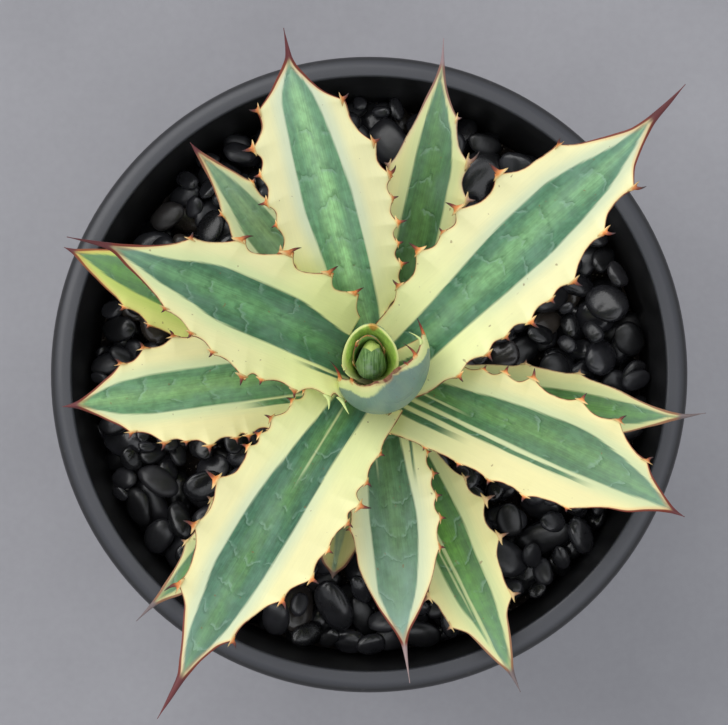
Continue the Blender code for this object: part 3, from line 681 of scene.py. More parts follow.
         high=((0, 3), (0.3, 4), (0.5, 5), (0.6, 4.5), (0.7, 4.2), (0.8, 3), (0.9, 1.4)),
         pales=(((0.4, 0.97), -3.2, -2.4, 0.8), ((0.42, 0.8), -4.4, -3.9, 0.7)),
         teeth_left=((0.4, 1.4, 0.1), (0.48, 3.0, 0.1), (0.59, 2.8, 0.1), (0.75, 2.4, 0.2)),
         teeth_right=((0.5, 1.4, 0.2), (0.66, 2.0, 0.3), (0.76, 1.2, 0.4))),
    dict(name="outer_leaf_west", look="yellow", azimuth=159.5, slopes=(24, 17),
         reach=0.083, rise=0.0288, channel=22, spine=0.97,
         left=((0, 5), (0.4, 10.4), (0.57, 11.2), (0.65, 10.6), (0.72, 9.0), (0.8, 7.1), (0.9, 3.8),
            (0.97, 0.8), (1, 0)),
         right=((0, -5), (0.5, -9.0), (0.7, -8.0), (0.8, -5.8), (0.9, -3.0), (0.97, -0.6), (1, 0)),
         low=((0, -5), (0.5, -5.5), (0.8, -3.4), (0.95, -0.2)),
         high=((0, 5), (0.5, 5.6), (0.8, 3.6), (0.95, 0.3)),
         teeth_left=((0.46, 1.2, 0.1), (0.57, 1.8, 0.2), (0.68, 1.0, 0.3), (0.77, 1.4, 0.5)),
         teeth_right=((0.6, 1.2, 0.3), (0.75, 1.2, 0.4))),
    dict(name="lowest_leaf_south", look="withered", azimuth=260.0, slopes=(20, 12),
         reach=0.056, rise=0.012, channel=20, spine=0.975,
         left=((0, 4), (0.5, 7.0), (0.8, 5.6), (0.93, 3.0), (0.975, 0.9), (1, 0)),
         right=((0, -4), (0.5, -7.4), (0.8, -6.2), (0.93, -3.4), (0.975, -0.9), (1, 0)),
         low=((0, -3), (0.5, -2.4), (0.9, -0.6)),
         high=((0, 3), (0.5, 2.4), (0.9, 0.6)),
         teeth_left=((0.5, 1.2, 0.2), (0.66, 1.1, 0.3)),
         teeth_right=((0.5, 1.2, 0.2), (0.66, 1.1, 0.3))),
)

# How finely a blade is made: rows are closer towards the tip, and columns towards the edges.
LEAF_ROWS = 210
LEAF_HALF_COLUMNS = 17
ROW_POWER = 0.95
COLUMN_POWER = 1.5

# A blade's section: how thick it is, how much of that is under the leaf's line, and how far it
# is bent round the stem at its foot.
BASE_THICKNESS = 0.0052
BLADE_THICKNESS = 0.0021
EDGE_THICKNESS = 0.0006
THICK_FOOT_POWER = 2.2
UNDER_SHARE = 0.72
LEAST_HALF_MM = 0.10
LEAST_BEND = 0.02
HALF_CLASP = 0.0095
MOST_CLASP = 0.52
WING_SHARE = 0.30
SPINE_BLEND = 0.06
STEEPEST_EDGE = 0.97
BODY_POWER = 2.4
EDGE_ROUND_POWER = 16
CURL_POWER = 5

# The fleshy foot of a tooth: how much of the tooth's height it takes, how far it runs along the
# edge, how it shares the gap to the next tooth, and how the edge curls up over it.
BUMP_SHARE = 0.88
BUMP_WIDTH_MM = 3.2
BUMP_SPREAD = 0.8
BUMP_LEAN = 0.3
BUMP_POWER = 2.2
GAP_SHARE = 0.62
LONE_GAP = 0.20
EDGE_POWER = 8
CURL_SHARE = 0.30
RIPPLE_MM = 0.10
RIPPLE_TURNS = 47.0

# A tooth's length and radius in millimetres: a least size, and what each millimetre of height adds.
TOOTH_LENGTH = (0.55, 0.95)
TOOTH_RADIUS = (0.34, 0.11)
FRESH_LONGER = 1.7
TOOTH_SINK = 0.9
TOOTH_ROOT = 0.94
TOOTH_HOOK = 0.12
TOOTH_RISE = 0.25
EDGE_SPOTS = 400

# The dark line along the edge, in millimetres: on the blade, and what the spine's nearness adds.
EDGE_LINE_MM = 0.24
SPINE_LINE_MM = 0.50
SPINE_NEAR = 0.32


def ring_of_columns(half_columns, power):
    """Places across, from -1 to 1 and back under, with the side that each is on: 1 first, then -1."""
    ticks = 1.0 - (1.0 - np.linspace(0.0, 1.0, half_columns + 1)) ** power
    front = np.concatenate([-ticks[::-1], ticks[1:]])
    across = np.concatenate([front, front[::-1][1:-1]])
    return across, np.concatenate([np.ones(len(front)), -np.ones(len(front) - 2)])


def stem_radius(height):
    share = (height - SOIL_TOP) / (STEM_TOP - SOIL_TOP)
    return between(STEM_FOOT_RADIUS, STEM_TOP_RADIUS, float(smooth_step(share)))


class Leaf:
    """A blade over its line: where its surface is, and what lies there."""

    def __init__(self, order, name, look, azimuth, slopes, reach, rise, channel, spine, left, right,
                 low, high, teeth_left, teeth_right, stripes=(), pales=(), wing=(0.0, 0.0)):
        slope_at_base, slope_at_tip = (math.radians(slope) for slope in slopes)
        self.name, self.look, self.seed = name, look, order + 1
        angle = math.radians(azimuth)
        self.out = np.array([math.cos(angle), math.sin(angle), 0.0])
        self.side = np.array([-math.sin(angle), math.cos(angle), 0.0])
        self.reach, self.channel, self.spine = reach, math.radians(channel), spine
        height = STEM_TOP - STEM_OVER_LEAVES - LEAF_PITCH * order
        lean = 0.5 * LEAF_THICKNESS * math.sin(slope_at_base)
        start = np.array([stem_radius(height) + LEAF_SEAT_GAP + lean, height])
        end = np.array([reach, height + rise])
        chord = np.linalg.norm(end - start)
        pull = start + BASE_PULL * chord * np.array([math.cos(slope_at_base), math.sin(slope_at_base)])
        aim = end - TIP_PULL * chord * np.array([math.cos(slope_at_tip), math.sin(slope_at_tip)])
        self.control = (start, pull, aim, end)
        self.left, self.right = left, right
        self.low, self.high = low, high
        self.stripes, self.pales = stripes, pales
        self.wing = {1.0: wing[0], -1.0: wing[1]}
        self.teeth = {1.0: teeth_left, -1.0: teeth_right}
        self.clasp = min(HALF_CLASP / start[0], MOST_CLASP)

    def line(self, share):
        """Plan distance and height of the leaf's line, and its slope's cosine and sine."""
        share = np.asarray(share, float)[:, None]
        rest = 1.0 - share
        first, second, third, fourth = self.control
        place = (rest ** 3 * first + 3 * rest ** 2 * share * second
                 + 3 * rest * share ** 2 * third + share ** 3 * fourth)
        run = 3 * (rest ** 2 * (second - first) + 2 * rest * share * (third - second)
                   + share ** 2 * (fourth - third))
        run /= np.linalg.norm(run, axis=1, keepdims=True)
        return place, run

    def bumps(self, along, side):
        """How far the fleshy foot of each tooth stands out, in millimetres."""
        teeth = self.teeth[side]
        places = [tooth[0] for tooth in teeth]
        total = np.zeros_like(along)
        for index, (at, height, lean, *_) in enumerate(teeth):
            away = (along - at) * self.reach / MM
            before = at - places[index - 1] if index else LONE_GAP
            after = places[index + 1] - at if index + 1 < len(places) else LONE_GAP
            widest = BUMP_WIDTH_MM + BUMP_SPREAD * height
            back, on = (min(widest, GAP_SHARE * gap * self.reach / MM) for gap in (before, after))
            back, on = back * (1.0 + BUMP_LEAN * lean), on * (1.0 - BUMP_LEAN * lean)
            near = 1.0 - np.abs(away) / np.where(away > 0.0, on, back)
            total += BUMP_SHARE * height * np.maximum(near, 0.0) ** BUMP_POWER
        return total

    def outline(self, at_left, at_right):
        """The middle of the blade between its two edges, and half its width, in millimetres."""
        left, right = smooth_curve(self.left, at_left), smooth_curve(self.right, at_right)
        return 0.5 * (left + right), np.maximum(0.5 * (left - right), LEAST_HALF_MM)

    def surface(self, share, across, depth):
        """Points of the blade; across runs from -1 to 1 and depth from -1 below to 1 above.

        A channelled section's edges lie further back than its middle on a steep leaf, so each
        edge takes its offset from where it comes to lie.
        """
        place, run = self.line(share)
        along = place[:, 0] / self.reach
        bend = between(self.clasp, self.channel, smooth_step(np.asarray(share) / CLASP_SHARE))
        bend = np.maximum(bend * smooth_step((1.02 - along) / 0.5), LEAST_BEND)
        lean = run[:, 1] * MM / self.reach
        half = self.outline(along, along)[1]
        behind = along - lean * half * np.tan(0.5 * bend)
        base = (1.0 - smooth_step(along / WING_SHARE)) * MM / self.reach
        at_left, at_right = behind - self.wing[1.0] * base, behind - self.wing[-1.0] * base
        middle, half = self.outline(at_left, at_right)
        blade = smooth_step((self.spine - along) / SPINE_BLEND)
        left_bump, right_bump = self.bumps(at_left, 1.0) * blade, self.bumps(at_right, -1.0) * blade
        bump = np.where(across > 0.0, left_bump[:, None], right_bump[:, None])
        ripple = RIPPLE_MM * np.sin(along * RIPPLE_TURNS + self.seed) * blade
        near_edge = np.abs(across) ** EDGE_POWER
        offset = across * half[:, None] + np.sign(across) * (bump + ripple[:, None]) * near_edge
        radius = (half / np.sin(bend))[:, None]
        steep = np.clip(offset / radius, -STEEPEST_EDGE, STEEPEST_EDGE)
        lift = radius * (1.0 - np.sqrt(1.0 - steep ** 2))
        wing = np.where(across > 0.0, self.wing[1.0], self.wing[-1.0]) * np.abs(across) ** 2
        wing = wing * (1.0 - smooth_step(along / WING_SHARE))[:, None]
        curl = CURL_SHARE * bump * np.abs(across) ** CURL_POWER
        thick = between(BLADE_THICKNESS, BASE_THICKNESS, (1.0 - along) ** THICK_FOOT_POWER) / MM
        thick = np.minimum(thick, 1.75 * half)[:, None]
        edge = np.minimum(EDGE_THICKNESS / MM, 0.8 * half)[:, None]
        rounded = np.sqrt(np.clip(1.0 - across ** EDGE_ROUND_POWER, 0.0, 1.0))
        body = (thick - edge) * (1.0 - np.abs(across) ** BODY_POWER) + edge * rounded
        up_share = np.where(depth > 0.0, 1.0 - UNDER_SHARE, UNDER_SHARE)
        round_share = between(up_share, 0.5, smooth_step((along - self.spine + 0.05) / 0.05)[:, None])
        height = lift + curl + depth * body * round_share
        up = -run[:, 1:2] * self.out + run[:, 0:1] * np.array([0.0, 0.0, 1.0])
        centre = PLANT + place[:, 0:1] * self.out + place[:, 1:2] * np.array([0.0, 0.0, 1.0])
        points = (centre[:, None, :] + self.side * ((middle[:, None] + offset) * MM)[:, :, None]
                  + up[:, None, :] * (height * MM)[:, :, None] - self.out * (wing * MM)[:, :, None])
        place = along[:, None] - lean[:, None] * lift - wing * MM / self.reach
        facts = dict(along=along, offset=middle[:, None] + offset, place=place,
                     edge=(1.0 - np.abs(across)) * half[:, None] + (1.0 - near_edge) * bump, bump=bump)
        return points, facts

    def band(self, points, along):
        """A stripe's two sides in millimetres and its strength, along the leaf."""
        (start, end), low, high, *strength = points
        fade = smooth_step((along - start) / 0.05 + 0.5) * smooth_step((end - along) / 0.12)
        squeeze = 1.0 - 0.35 * smooth_step((along - 0.4) / 0.5)
        return low * squeeze, high * squeeze, fade * (strength[0] if strength else 1.0)

    def build(self):
        across, depth = ring_of_columns(LEAF_HALF_COLUMNS, COLUMN_POWER)
        share = np.linspace(0.0, 1.0, LEAF_ROWS) ** ROW_POWER
        rows, columns = len(share), len(across)
        across_grid = np.tile(across, (rows, 1))
        points, facts = self.surface(share, across_grid, np.tile(depth, (rows, 1)))
        along = facts["along"]

        def spread(value):
            return np.broadcast_to(value[:, None], (rows, columns)) if value.ndim == 1 else value

        def layer(*values):
            return np.stack([spread(np.asarray(value, float)) for value in values], axis=-1)

        under = np.tile((depth < 0).astype(float), (rows, 1))
        near_spine = smooth_step((along - self.spine + SPINE_NEAR) / SPINE_NEAR)
        line = EDGE_LINE_MM + SPINE_LINE_MM * near_spine ** 2.0
        spine = smooth_step((along - self.spine + 0.015) / 0.02)
        place = facts["place"]
        attributes = {
            "blade": layer(facts["offset"], place * self.reach / MM, facts["edge"]),
            "band": layer(smooth_curve(self.low, place), smooth_curve(self.high, place), under),
            "line": layer(line, spine, along),
            "flesh": layer(facts["bump"], smooth_step(near_spine * 1.6), np.zeros(rows)),
        }
        for kind, bands in (("stripe_", self.stripes), ("pale_", self.pales)):
            for number, points_of in enumerate(bands):
                attributes[kind + str(number + 1)] = layer(*self.band(points_of, place))
        material = leaf_material("leaf_" + self.name, self.seed, LOOKS[self.look], len(self.stripes),
                                 len(self.pales))
        blade = make_mesh(self.name + "_blade", points, skin(rows, columns), material, "leaf_tissue",
                          attributes)
        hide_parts(self.name)
        self.build_teeth()

    def build_teeth(self):
        """Hooked teeth, each on the crest of its fleshy foot."""
        rng = random.Random(self.seed * 101)
        points, faces, marks = [], [], []
        shares = np.linspace(0.0, 1.0, EDGE_SPOTS)
        for side, teeth in self.teeth.items():
            _, facts = self.surface(shares, np.full((EDGE_SPOTS, 1), side), np.zeros((EDGE_SPOTS, 1)))
            edge = facts["place"][:, 0]
            for at, height, lean, *fresh in teeth:
                share = float(np.interp(at, edge, shares))
                grid = np.array([[side * TOOTH_ROOT], [side]])
                spots, _ = self.surface(np.array([share, share]), grid, np.zeros((2, 1)))
                root, foot = spots[0, 0], spots[1, 0]
                _, run = self.line(np.array([share]))
                forward = run[0, 0] * self.out + run[0, 1] * np.array([0.0, 0.0, 1.0])
                outward = foot - root
                outward = outward - forward * np.dot(outward, forward)
                outward /= np.linalg.norm(outward)
                normal = np.cross(forward, outward)
                longer = FRESH_LONGER if fresh else 1.0
                length = (TOOTH_LENGTH[0] + TOOTH_LENGTH[1] * height) * MM * longer
                radius = (TOOTH_RADIUS[0] + TOOTH_RADIUS[1] * height) * MM
                begin = foot - outward * TOOTH_SINK * radius
                hook = lean + rng.uniform(-TOOTH_HOOK, TOOTH_HOOK)
                rise = rng.uniform(0.0, TOOTH_RISE)
                tone = rng.random()
                add_tooth(points, faces, marks, begin, outward, forward, normal * -side, length, radius,
                          hook, rise, tone, 1.0 if fresh else 0.0)
        if points:
            teeth = make_mesh(self.name + "_teeth", np.concatenate(points), faces,
                              tooth_material("teeth_" + self.name, LOOKS[self.look]), "leaf_tissue",
                              {"tooth": np.concatenate(marks)})
            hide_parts(self.name)


# A tooth's horn: how finely it is made, how its foot flares, how flat it is, how it tapers to its
# point, and how its hook bends it back from outward and along forward.
TOOTH_RINGS = 9
TOOTH_SIDES = 10
TOOTH_FLARE = 2.6
TOOTH_FLARE_SHARE = 0.22
TOOTH_FLATNESS = 0.8
TOOTH_TAPER = 0.75
TOOTH_POINT = 0.00003
HOOK_BACK = 0.30
HOOK_STEADY = 0.15
HOOK_LATE = 0.75


def add_tooth(points, faces, marks, begin, outward, forward, normal, length, radius, hook, rise, tone,
              fresh=0.0):
    """A flattened horn that leaves along outward and curls along forward by hook."""
    first = sum(len(part) for part in points)
    rings = []
    previous = None
    for ring in range(TOOTH_RINGS):
        share = ring / (TOOTH_RINGS - 1)
        middle = (begin + outward * length * (share - HOOK_BACK * abs(hook) * share ** 2)
                  + forward * length * hook * (HOOK_STEADY * share + HOOK_LATE * share ** 2)
                  + normal * length * rise * share ** 2)
        if previous is None:
            axis = outward
        else:
            axis = (middle - previous) / np.linalg.norm(middle - previous)
        across = np.cross(normal, axis)
        across /= np.linalg.norm(across)
        flare = 1.0 + TOOTH_FLARE * max(0.0, TOOTH_FLARE_SHARE - share) / TOOTH_FLARE_SHARE
        wide = radius * flare * (1.0 - share) ** TOOTH_TAPER + TOOTH_POINT
        thin = radius * TOOTH_FLATNESS * (1.0 - share) ** TOOTH_TAPER + TOOTH_POINT
        angles = np.linspace(0.0, math.tau, TOOTH_SIDES, endpoint=False)
        rings.append(middle + np.outer(np.cos(angles), across) * wide
                     + np.outer(np.sin(angles), normal) * thin)
        previous = middle
    points.append(np.concatenate(rings))
    faces.extend(skin(TOOTH_RINGS, TOOTH_SIDES, first))
    shares = np.repeat(np.linspace(0.0, 1.0, TOOTH_RINGS), TOOTH_SIDES)
    marks.append(np.stack([shares, np.full_like(shares, tone), np.full_like(shares, fresh)],
                          axis=-1))


def make_leaves():
    """Every blade with its teeth, the highest first."""
    for order, facts in enumerate(LEAVES):
        Leaf(order, **facts).build()


# ---------------------------------------------------------------- bud

BUD_LOOKS = {
    "young": changed(mid=(128, 160, 84), flank=(104, 144, 84), back=(122, 146, 142),
        cream=(246, 242, 176), near=(222, 230, 160), wax=(128, 150, 142), tooth=(206, 112, 54),
        rim=(126, 38, 26), spine=(120, 44, 34)),
    "ring": changed(mid=(196, 232, 96), flank=(184, 224, 88), back=(122, 138, 134),
        cream=(240, 246, 164), near=(212, 232, 112), base_cream=(216, 234, 124),
        edge_cream=(244, 246, 176), wax=(168, 200, 110), rim=(226, 232, 150), spine=(208, 158, 70),
        tooth=(222, 222, 130)),
    "inner": changed(mid=(140, 186, 84), flank=(124, 172, 76), back=(126, 148, 132),
        cream=(206, 222, 120), near=(176, 204, 96), base_cream=(190, 212, 110),
        edge_cream=(206, 214, 120), wax=(140, 168, 120), rim=(150, 60, 40), spine=(190, 120, 60),
        tooth=(206, 120, 64)),
}


ROLLED_ROWS = 90
ROLLED_HALF_COLUMNS = 26
ROLLED_ROW_POWER = 0.9
ROLLED_COLUMN_POWER = 1.4
EGG_TAPER = 3.2
SPINE_HALF_MM = 1.3
SPINE_FADE = 0.04
SPINE_LEAST = 0.02
ROLLED_TOOTH_RADIUS = 0.00058
ROLLED_TOOTH_SINK = 0.0008
ROLLED_TOOTH_ROOT = 0.93
ROLLED_TOOTH_STEP = 0.02
BUD_SEAT = 0.0010


class RolledLeaf:
    """A young leaf that stands curled round the bud. Angles in degrees, sizes in millimetres.

    wrap is how far each edge is round from the azimuth, radius and the edges' extra reach are
    given at shares up the leaf. margin is the cream's width at the two edges. egg makes the plan
    longer to the north and south and narrower to the north. Teeth are the side (1 is
    anticlockwise), the share up, the length, how steeply it rises, its lean up the edge, its
    lean inward and 1 where it is fresh.
    """

    def __init__(self, name, node, look, azimuth, height, thickness, wrap, radius, edge_left, edge_right,
                 margin, spine, line, teeth, egg=0.0, shift=(0.0, 0.0), most_right=180.0):
        self.name, self.node, self.look = name, node, look
        self.azimuth, self.wrap, self.radius = azimuth, wrap, radius
        self.edge_right, self.edge_left = edge_right, edge_left
        self.height, self.thickness, self.margin, self.spine = height, thickness, margin, spine
        self.line, self.egg, self.shift, self.teeth = line, egg, shift, teeth
        self.most_right = most_right

    def surface(self, share, across, depth):
        """Points at shares up the leaf; across is from -1 to 1 and depth 1 on the back, -1 inside."""
        wrap = smooth_curve(self.wrap, share)[:, None]
        wrap = np.where(across > 0.0, np.minimum(wrap, self.most_right), wrap)
        radius = smooth_curve(self.radius, share)[:, None]
        angle = np.radians(self.azimuth + wrap * across)
        edge = np.where(across > 0.0, smooth_curve(self.edge_right, share)[:, None],
                        smooth_curve(self.edge_left, share)[:, None])
        lean = edge * np.abs(across) ** 2.5
        thin = self.thickness * (1.0 - 0.45 * np.abs(across) ** 3) * (1.0 - 0.35 * share[:, None])
        cap = np.sqrt(np.clip(1.0 - across ** 14, 0.0, 1.0))
        fade = np.minimum(1.0, (1.0 - share[:, None]) * 12.0 + 0.15)
        out = (radius + lean) * (1.0 - self.egg * np.cos(2.0 * angle)) + 0.5 * depth * thin * cap * fade
        narrow = 1.0 - EGG_TAPER * self.egg * np.sin(angle)
        stand = self.height * share[:, None] - 1.2 * np.abs(across) ** 2 * (1.0 - share[:, None])
        base = STEM_TOP - BUD_SEAT
        x = PLANT[0] + (out * np.cos(angle) * narrow + self.shift[0] * share[:, None]) * MM
        y = PLANT[1] + (out * np.sin(angle) + self.shift[1] * share[:, None]) * MM
        points = np.stack([x, y, base + stand * MM], axis=-1)
        half = np.radians(wrap) * radius
        return points, half

    def build(self):
        across, depth = ring_of_columns(ROLLED_HALF_COLUMNS, ROLLED_COLUMN_POWER)
        share = np.linspace(0.0, 1.0, ROLLED_ROWS) ** ROLLED_ROW_POWER
        rows, columns = len(share), len(across)
        grid, depths = np.tile(across, (rows, 1)), np.tile(depth, (rows, 1))
        points, half = self.surface(share, grid, depths)
        offset = grid * half
        edge = (1.0 - np.abs(grid)) * half
        tall = np.broadcast_to(share[:, None], (rows, columns))
        narrow = 1.0 - 0.85 * smooth_step((share[:, None] - 0.55) / 0.35)
        left_inner, right_inner = (np.broadcast_to(half - margin * narrow, (rows, columns))
                                   for margin in self.margin)
        opened = np.maximum(tall - self.spine + SPINE_LEAST, SPINE_LEAST) / (1.0 - self.spine)
        from_line = np.abs(offset) / (SPINE_HALF_MM * opened)
        spine = smooth_step((tall - self.spine) / SPINE_FADE) * smooth_step(1.6 - from_line)
        line = self.line * (1.0 + 1.2 * smooth_step((tall - self.spine + 0.35) / 0.35))
        nothing = np.zeros((rows, columns))
        attributes = {
            "blade": np.stack([offset, tall * self.height, edge], axis=-1),
            "band": np.stack([-left_inner, right_inner, (depths > 0).astype(float)], axis=-1),
            "line": np.stack([line, spine, np.clip(tall, 0.45, 1.0)], axis=-1),
            "flesh": np.stack([nothing, nothing, nothing], axis=-1),
        }
        material = leaf_material("leaf_" + self.name, len(self.name), BUD_LOOKS[self.look])
        item = make_mesh(self.name, points, skin(rows, columns), material, self.slot(), attributes)
        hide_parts(self.node)
        self.build_teeth()

    def slot(self):
        return "leaf_tissue" if self.node == "young_leaf" else "young_leaf_tissue"

    def build_teeth(self):
        points, faces, marks = [], [], []
        for side, at, length, up, lean, inward, fresh in self.teeth:
            share = np.array([at, at, at + ROLLED_TOOTH_STEP])
            across = np.array([[side * ROLLED_TOOTH_ROOT], [side], [side]])
            spots, _ = self.surface(share, across, np.zeros((3, 1)))
            root, foot, ahead = spots[0, 0], spots[1, 0], spots[2, 0]
            outward = foot - root
            outward = outward / np.linalg.norm(outward) + np.array([0.0, 0.0, up])
            outward /= np.linalg.norm(outward)
            forward = ahead - foot
            forward -= outward * np.dot(forward, outward)
            forward /= np.linalg.norm(forward)
            normal = np.cross(outward, forward)
            begin = foot - outward * ROLLED_TOOTH_SINK
            add_tooth(points, faces, marks, begin, outward, forward, normal, length * MM,
                      ROLLED_TOOTH_RADIUS, lean, -side * inward, 0.5, fresh)
        teeth = make_mesh(self.name + "_teeth", np.concatenate(points), faces,
                          tooth_material("teeth_" + self.name, BUD_LOOKS[self.look]), self.slot(),
                          {"tooth": np.concatenate(marks)})
        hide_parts(self.node)


def core_material():
    """The rolled heart: dark green with long ribs and a bloom, with a pale patch high on its north side
    that is a painted highlight.
    """
    surface = Surface("rolled_heart")
    across, along, painted_highlight = surface.attribute("heart")
    rib_place = surface.place(surface.times(across, 2.4), surface.times(along, 0.22), 3.0)
    ribs = surface.noise(rib_place, 1.0, 3.0, 0.6)
    cloud = surface.noise(surface.object_place(), 420.0, 3.0)
    colour = surface.mix(surface.ease(ribs, 0.38, 0.62), srgb(70, 108, 50), srgb(118, 154, 92))
    colour = surface.mix(surface.ease(cloud, 0.46, 0.70, 0.0, 0.55), colour, srgb(146, 164, 146))
    # Painted highlight: the pale patch high on the heart's north side.
    colour = surface.mix(surface.ease(painted_highlight, 0.35, 0.60), colour, srgb(188, 206, 112))
    normal = surface.bump(ribs, 0.00040, 0.8)
    return surface.finish(colour, 0.5, normal)


# The heart of the bud, in millimetres: how tall it is, its middle's place off the plant's axis,
# and the fold of the newest leaf round it, whose outer side is the one past PATCH_FROM. High on
# that side the heart is painted pale, a painted highlight.
CORE_ROWS = 70
CORE_COLUMNS = 64
CORE_HEIGHT_MM = 29.0
CORE_PLACE_MM = (0.35, -1.1)
CORE_NARROW = 0.30
FOLD_MM = 0.35
FOLD_WIDTH = 0.10
PATCH_FROM = 0.30


def make_core():
    """The closed heart of the bud: a spindle that narrows and leans north, folded at its middle."""
    rows, columns = CORE_ROWS, CORE_COLUMNS
    share = np.linspace(0.0, 1.0, rows)
    angles = np.linspace(0.0, math.tau, columns, endpoint=False)
    wide = smooth_curve(((0, 2.8), (0.3, 3.3), (0.6, 3.6), (0.8, 3.2), (0.93, 2.0), (1, 0.15)), share)
    deep = smooth_curve(((0, 3.0), (0.3, 3.9), (0.6, 4.6), (0.8, 4.4), (0.93, 2.7), (1, 0.15)), share)
    lean = smooth_curve(((0, 0.0), (0.4, 0.1), (0.75, 0.6), (1, 1.9)), share)
    height = CORE_HEIGHT_MM * share
    sine, cosine = np.sin(angles)[None, :], np.cos(angles)[None, :]
    from_fold = (sine - PATCH_FROM - 0.5 * cosine) / FOLD_WIDTH
    fold = FOLD_MM * np.exp(-from_fold ** 2) * smooth_step(share * 2.0)[:, None]
    across = (wide[:, None] + fold) * cosine * (1.0 - CORE_NARROW * sine)
    along = (deep[:, None] + fold) * sine
    x = PLANT[0] + (across + CORE_PLACE_MM[0]) * MM
    y = PLANT[1] + (along + lean[:, None] + CORE_PLACE_MM[1]) * MM
    z = np.broadcast_to(STEM_TOP - BUD_SEAT + height[:, None] * MM, x.shape)
    # Where the painted highlight lies: high on the heart's north side.
    painted_highlight = np.clip((sine - PATCH_FROM) * 2.2, 0, 1) * smooth_step((share[:, None] - 0.55) / 0.2)
    marks = np.stack([across, along, painted_highlight], axis=-1)
    core = make_mesh("bud_heart", np.stack([x, y, z], axis=-1), skin(rows, columns), core_material(),
                     "young_leaf_tissue", {"heart": marks})
    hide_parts("bud_core")


def make_bud():
    RolledLeaf(
        "young_leaf_blade", "young_leaf", "young", azimuth=318.0, height=33.0, thickness=2.2,
        wrap=((0, 100), (0.2, 108), (0.35, 95), (0.5, 75), (0.66, 52), (0.8, 30), (0.9, 15), (1, 1)),
        most_right=66.0,
        radius=((0, 7.8), (0.2, 12.4), (0.35, 13.8), (0.5, 14.0), (0.66, 12.7), (0.8, 10.2), (0.9, 8.2),
                (1, 7.0)),
        edge_left=((0, 0), (0.2, -3.4), (0.42, -7.0), (0.72, -5.2), (0.9, -1.2), (1, 0)),
        edge_right=((0, 0), (0.35, 0.6), (0.5, 0.6), (0.6, 0.0), (0.73, -0.8), (0.82, -1.2), (1, 0)),
        margin=(2.5, 3.6), spine=0.975, line=0.18,
        teeth=((-1.0, 0.24, 5.8, 0.35, -0.1, -0.4, 0.0), (-1.0, 0.41, 5.0, 0.5, 0.0, -0.45, 0.0),
               (1.0, 0.50, 5.4, 0.35, -0.2, 0.1, 0.0), (1.0, 0.71, 3.9, 0.35, 0.0, 0.8, 0.0),
               (1.0, 0.60, 3.4, 0.35, -0.1, 0.8, 1.0), (1.0, 0.80, 1.6, 0.4, 0.2, 0.3, 0.0))).build()
    RolledLeaf(
        "bud_ring", "bud_outer_leaf", "ring", azimuth=82.0, height=30.0, thickness=2.0,
        wrap=((0, 168), (0.45, 166), (0.6, 150), (0.74, 116), (0.86, 70), (0.95, 26), (1, 2)),
        radius=((0, 3.9), (0.3, 4.2), (0.5, 4.6), (0.62, 4.9), (0.72, 5.3), (0.8, 6.0), (0.9, 7.0),
                (1, 7.2)),
        edge_left=((0, 0), (0.45, 0.6), (0.6, 1.3), (0.72, 1.7), (0.82, 1.2), (0.92, 0.3), (1, 0)),
        edge_right=((0, 0), (0.45, 0.6), (0.6, 1.2), (0.72, 1.6), (0.82, 1.1), (0.92, 0.3), (1, 0)),
        margin=(2.2, 2.6), spine=0.85, line=0.03, egg=0.065, shift=(0.0, -0.4),
        teeth=((1.0, 0.70, 1.4, 0.5, 0.3, 0.0, 0.0), (-1.0, 0.68, 1.4, 0.5, 0.3, 0.0, 0.0))).build()
    RolledLeaf(
        "bud_inner_leaf", "bud_core", "inner", azimuth=97.0, height=29.5, thickness=1.0,
        wrap=((0, 150), (0.5, 138), (0.65, 108), (0.78, 76), (0.9, 42), (0.97, 16), (1, 2)),
        radius=((0, 3.0), (0.4, 3.6), (0.6, 3.9), (0.75, 4.3), (0.9, 4.8), (1, 5.0)),
        edge_left=((0, 0), (1, -0.3)), edge_right=((0, 0), (1, 0.0)),
        margin=(0.6, 0.7), spine=0.95, line=0.07, egg=0.05, shift=(-0.1, -0.4),
        teeth=((1.0, 0.88, 1.5, 0.6, 0.2, 0.2, 0.0), (-1.0, 0.76, 1.3, 0.6, 0.2, 0.3, 0.0),
               (1.0, 0.62, 1.2, 0.6, 0.2, 0.2, 0.0))).build()
    make_core()


# ---------------------------------------------------------------- pot

def arc(centre, radius, start, end, steps):
    """Points of an arc in the profile's plane, angles in degrees."""
    angles = [math.radians(between(start, end, step / steps)) for step in range(steps + 1)]
    return [(centre[0] + radius * math.cos(angle), centre[1] + radius * math.sin(angle))
            for angle in angles]


def pot_inner_radius(height):
    share = (height - POT_FLOOR) / (RIM_TOP - POT_FLOOR)
    return between(BASE_RADIUS - POT_WALL, RIM_RADIUS - RIM_BAND, share)


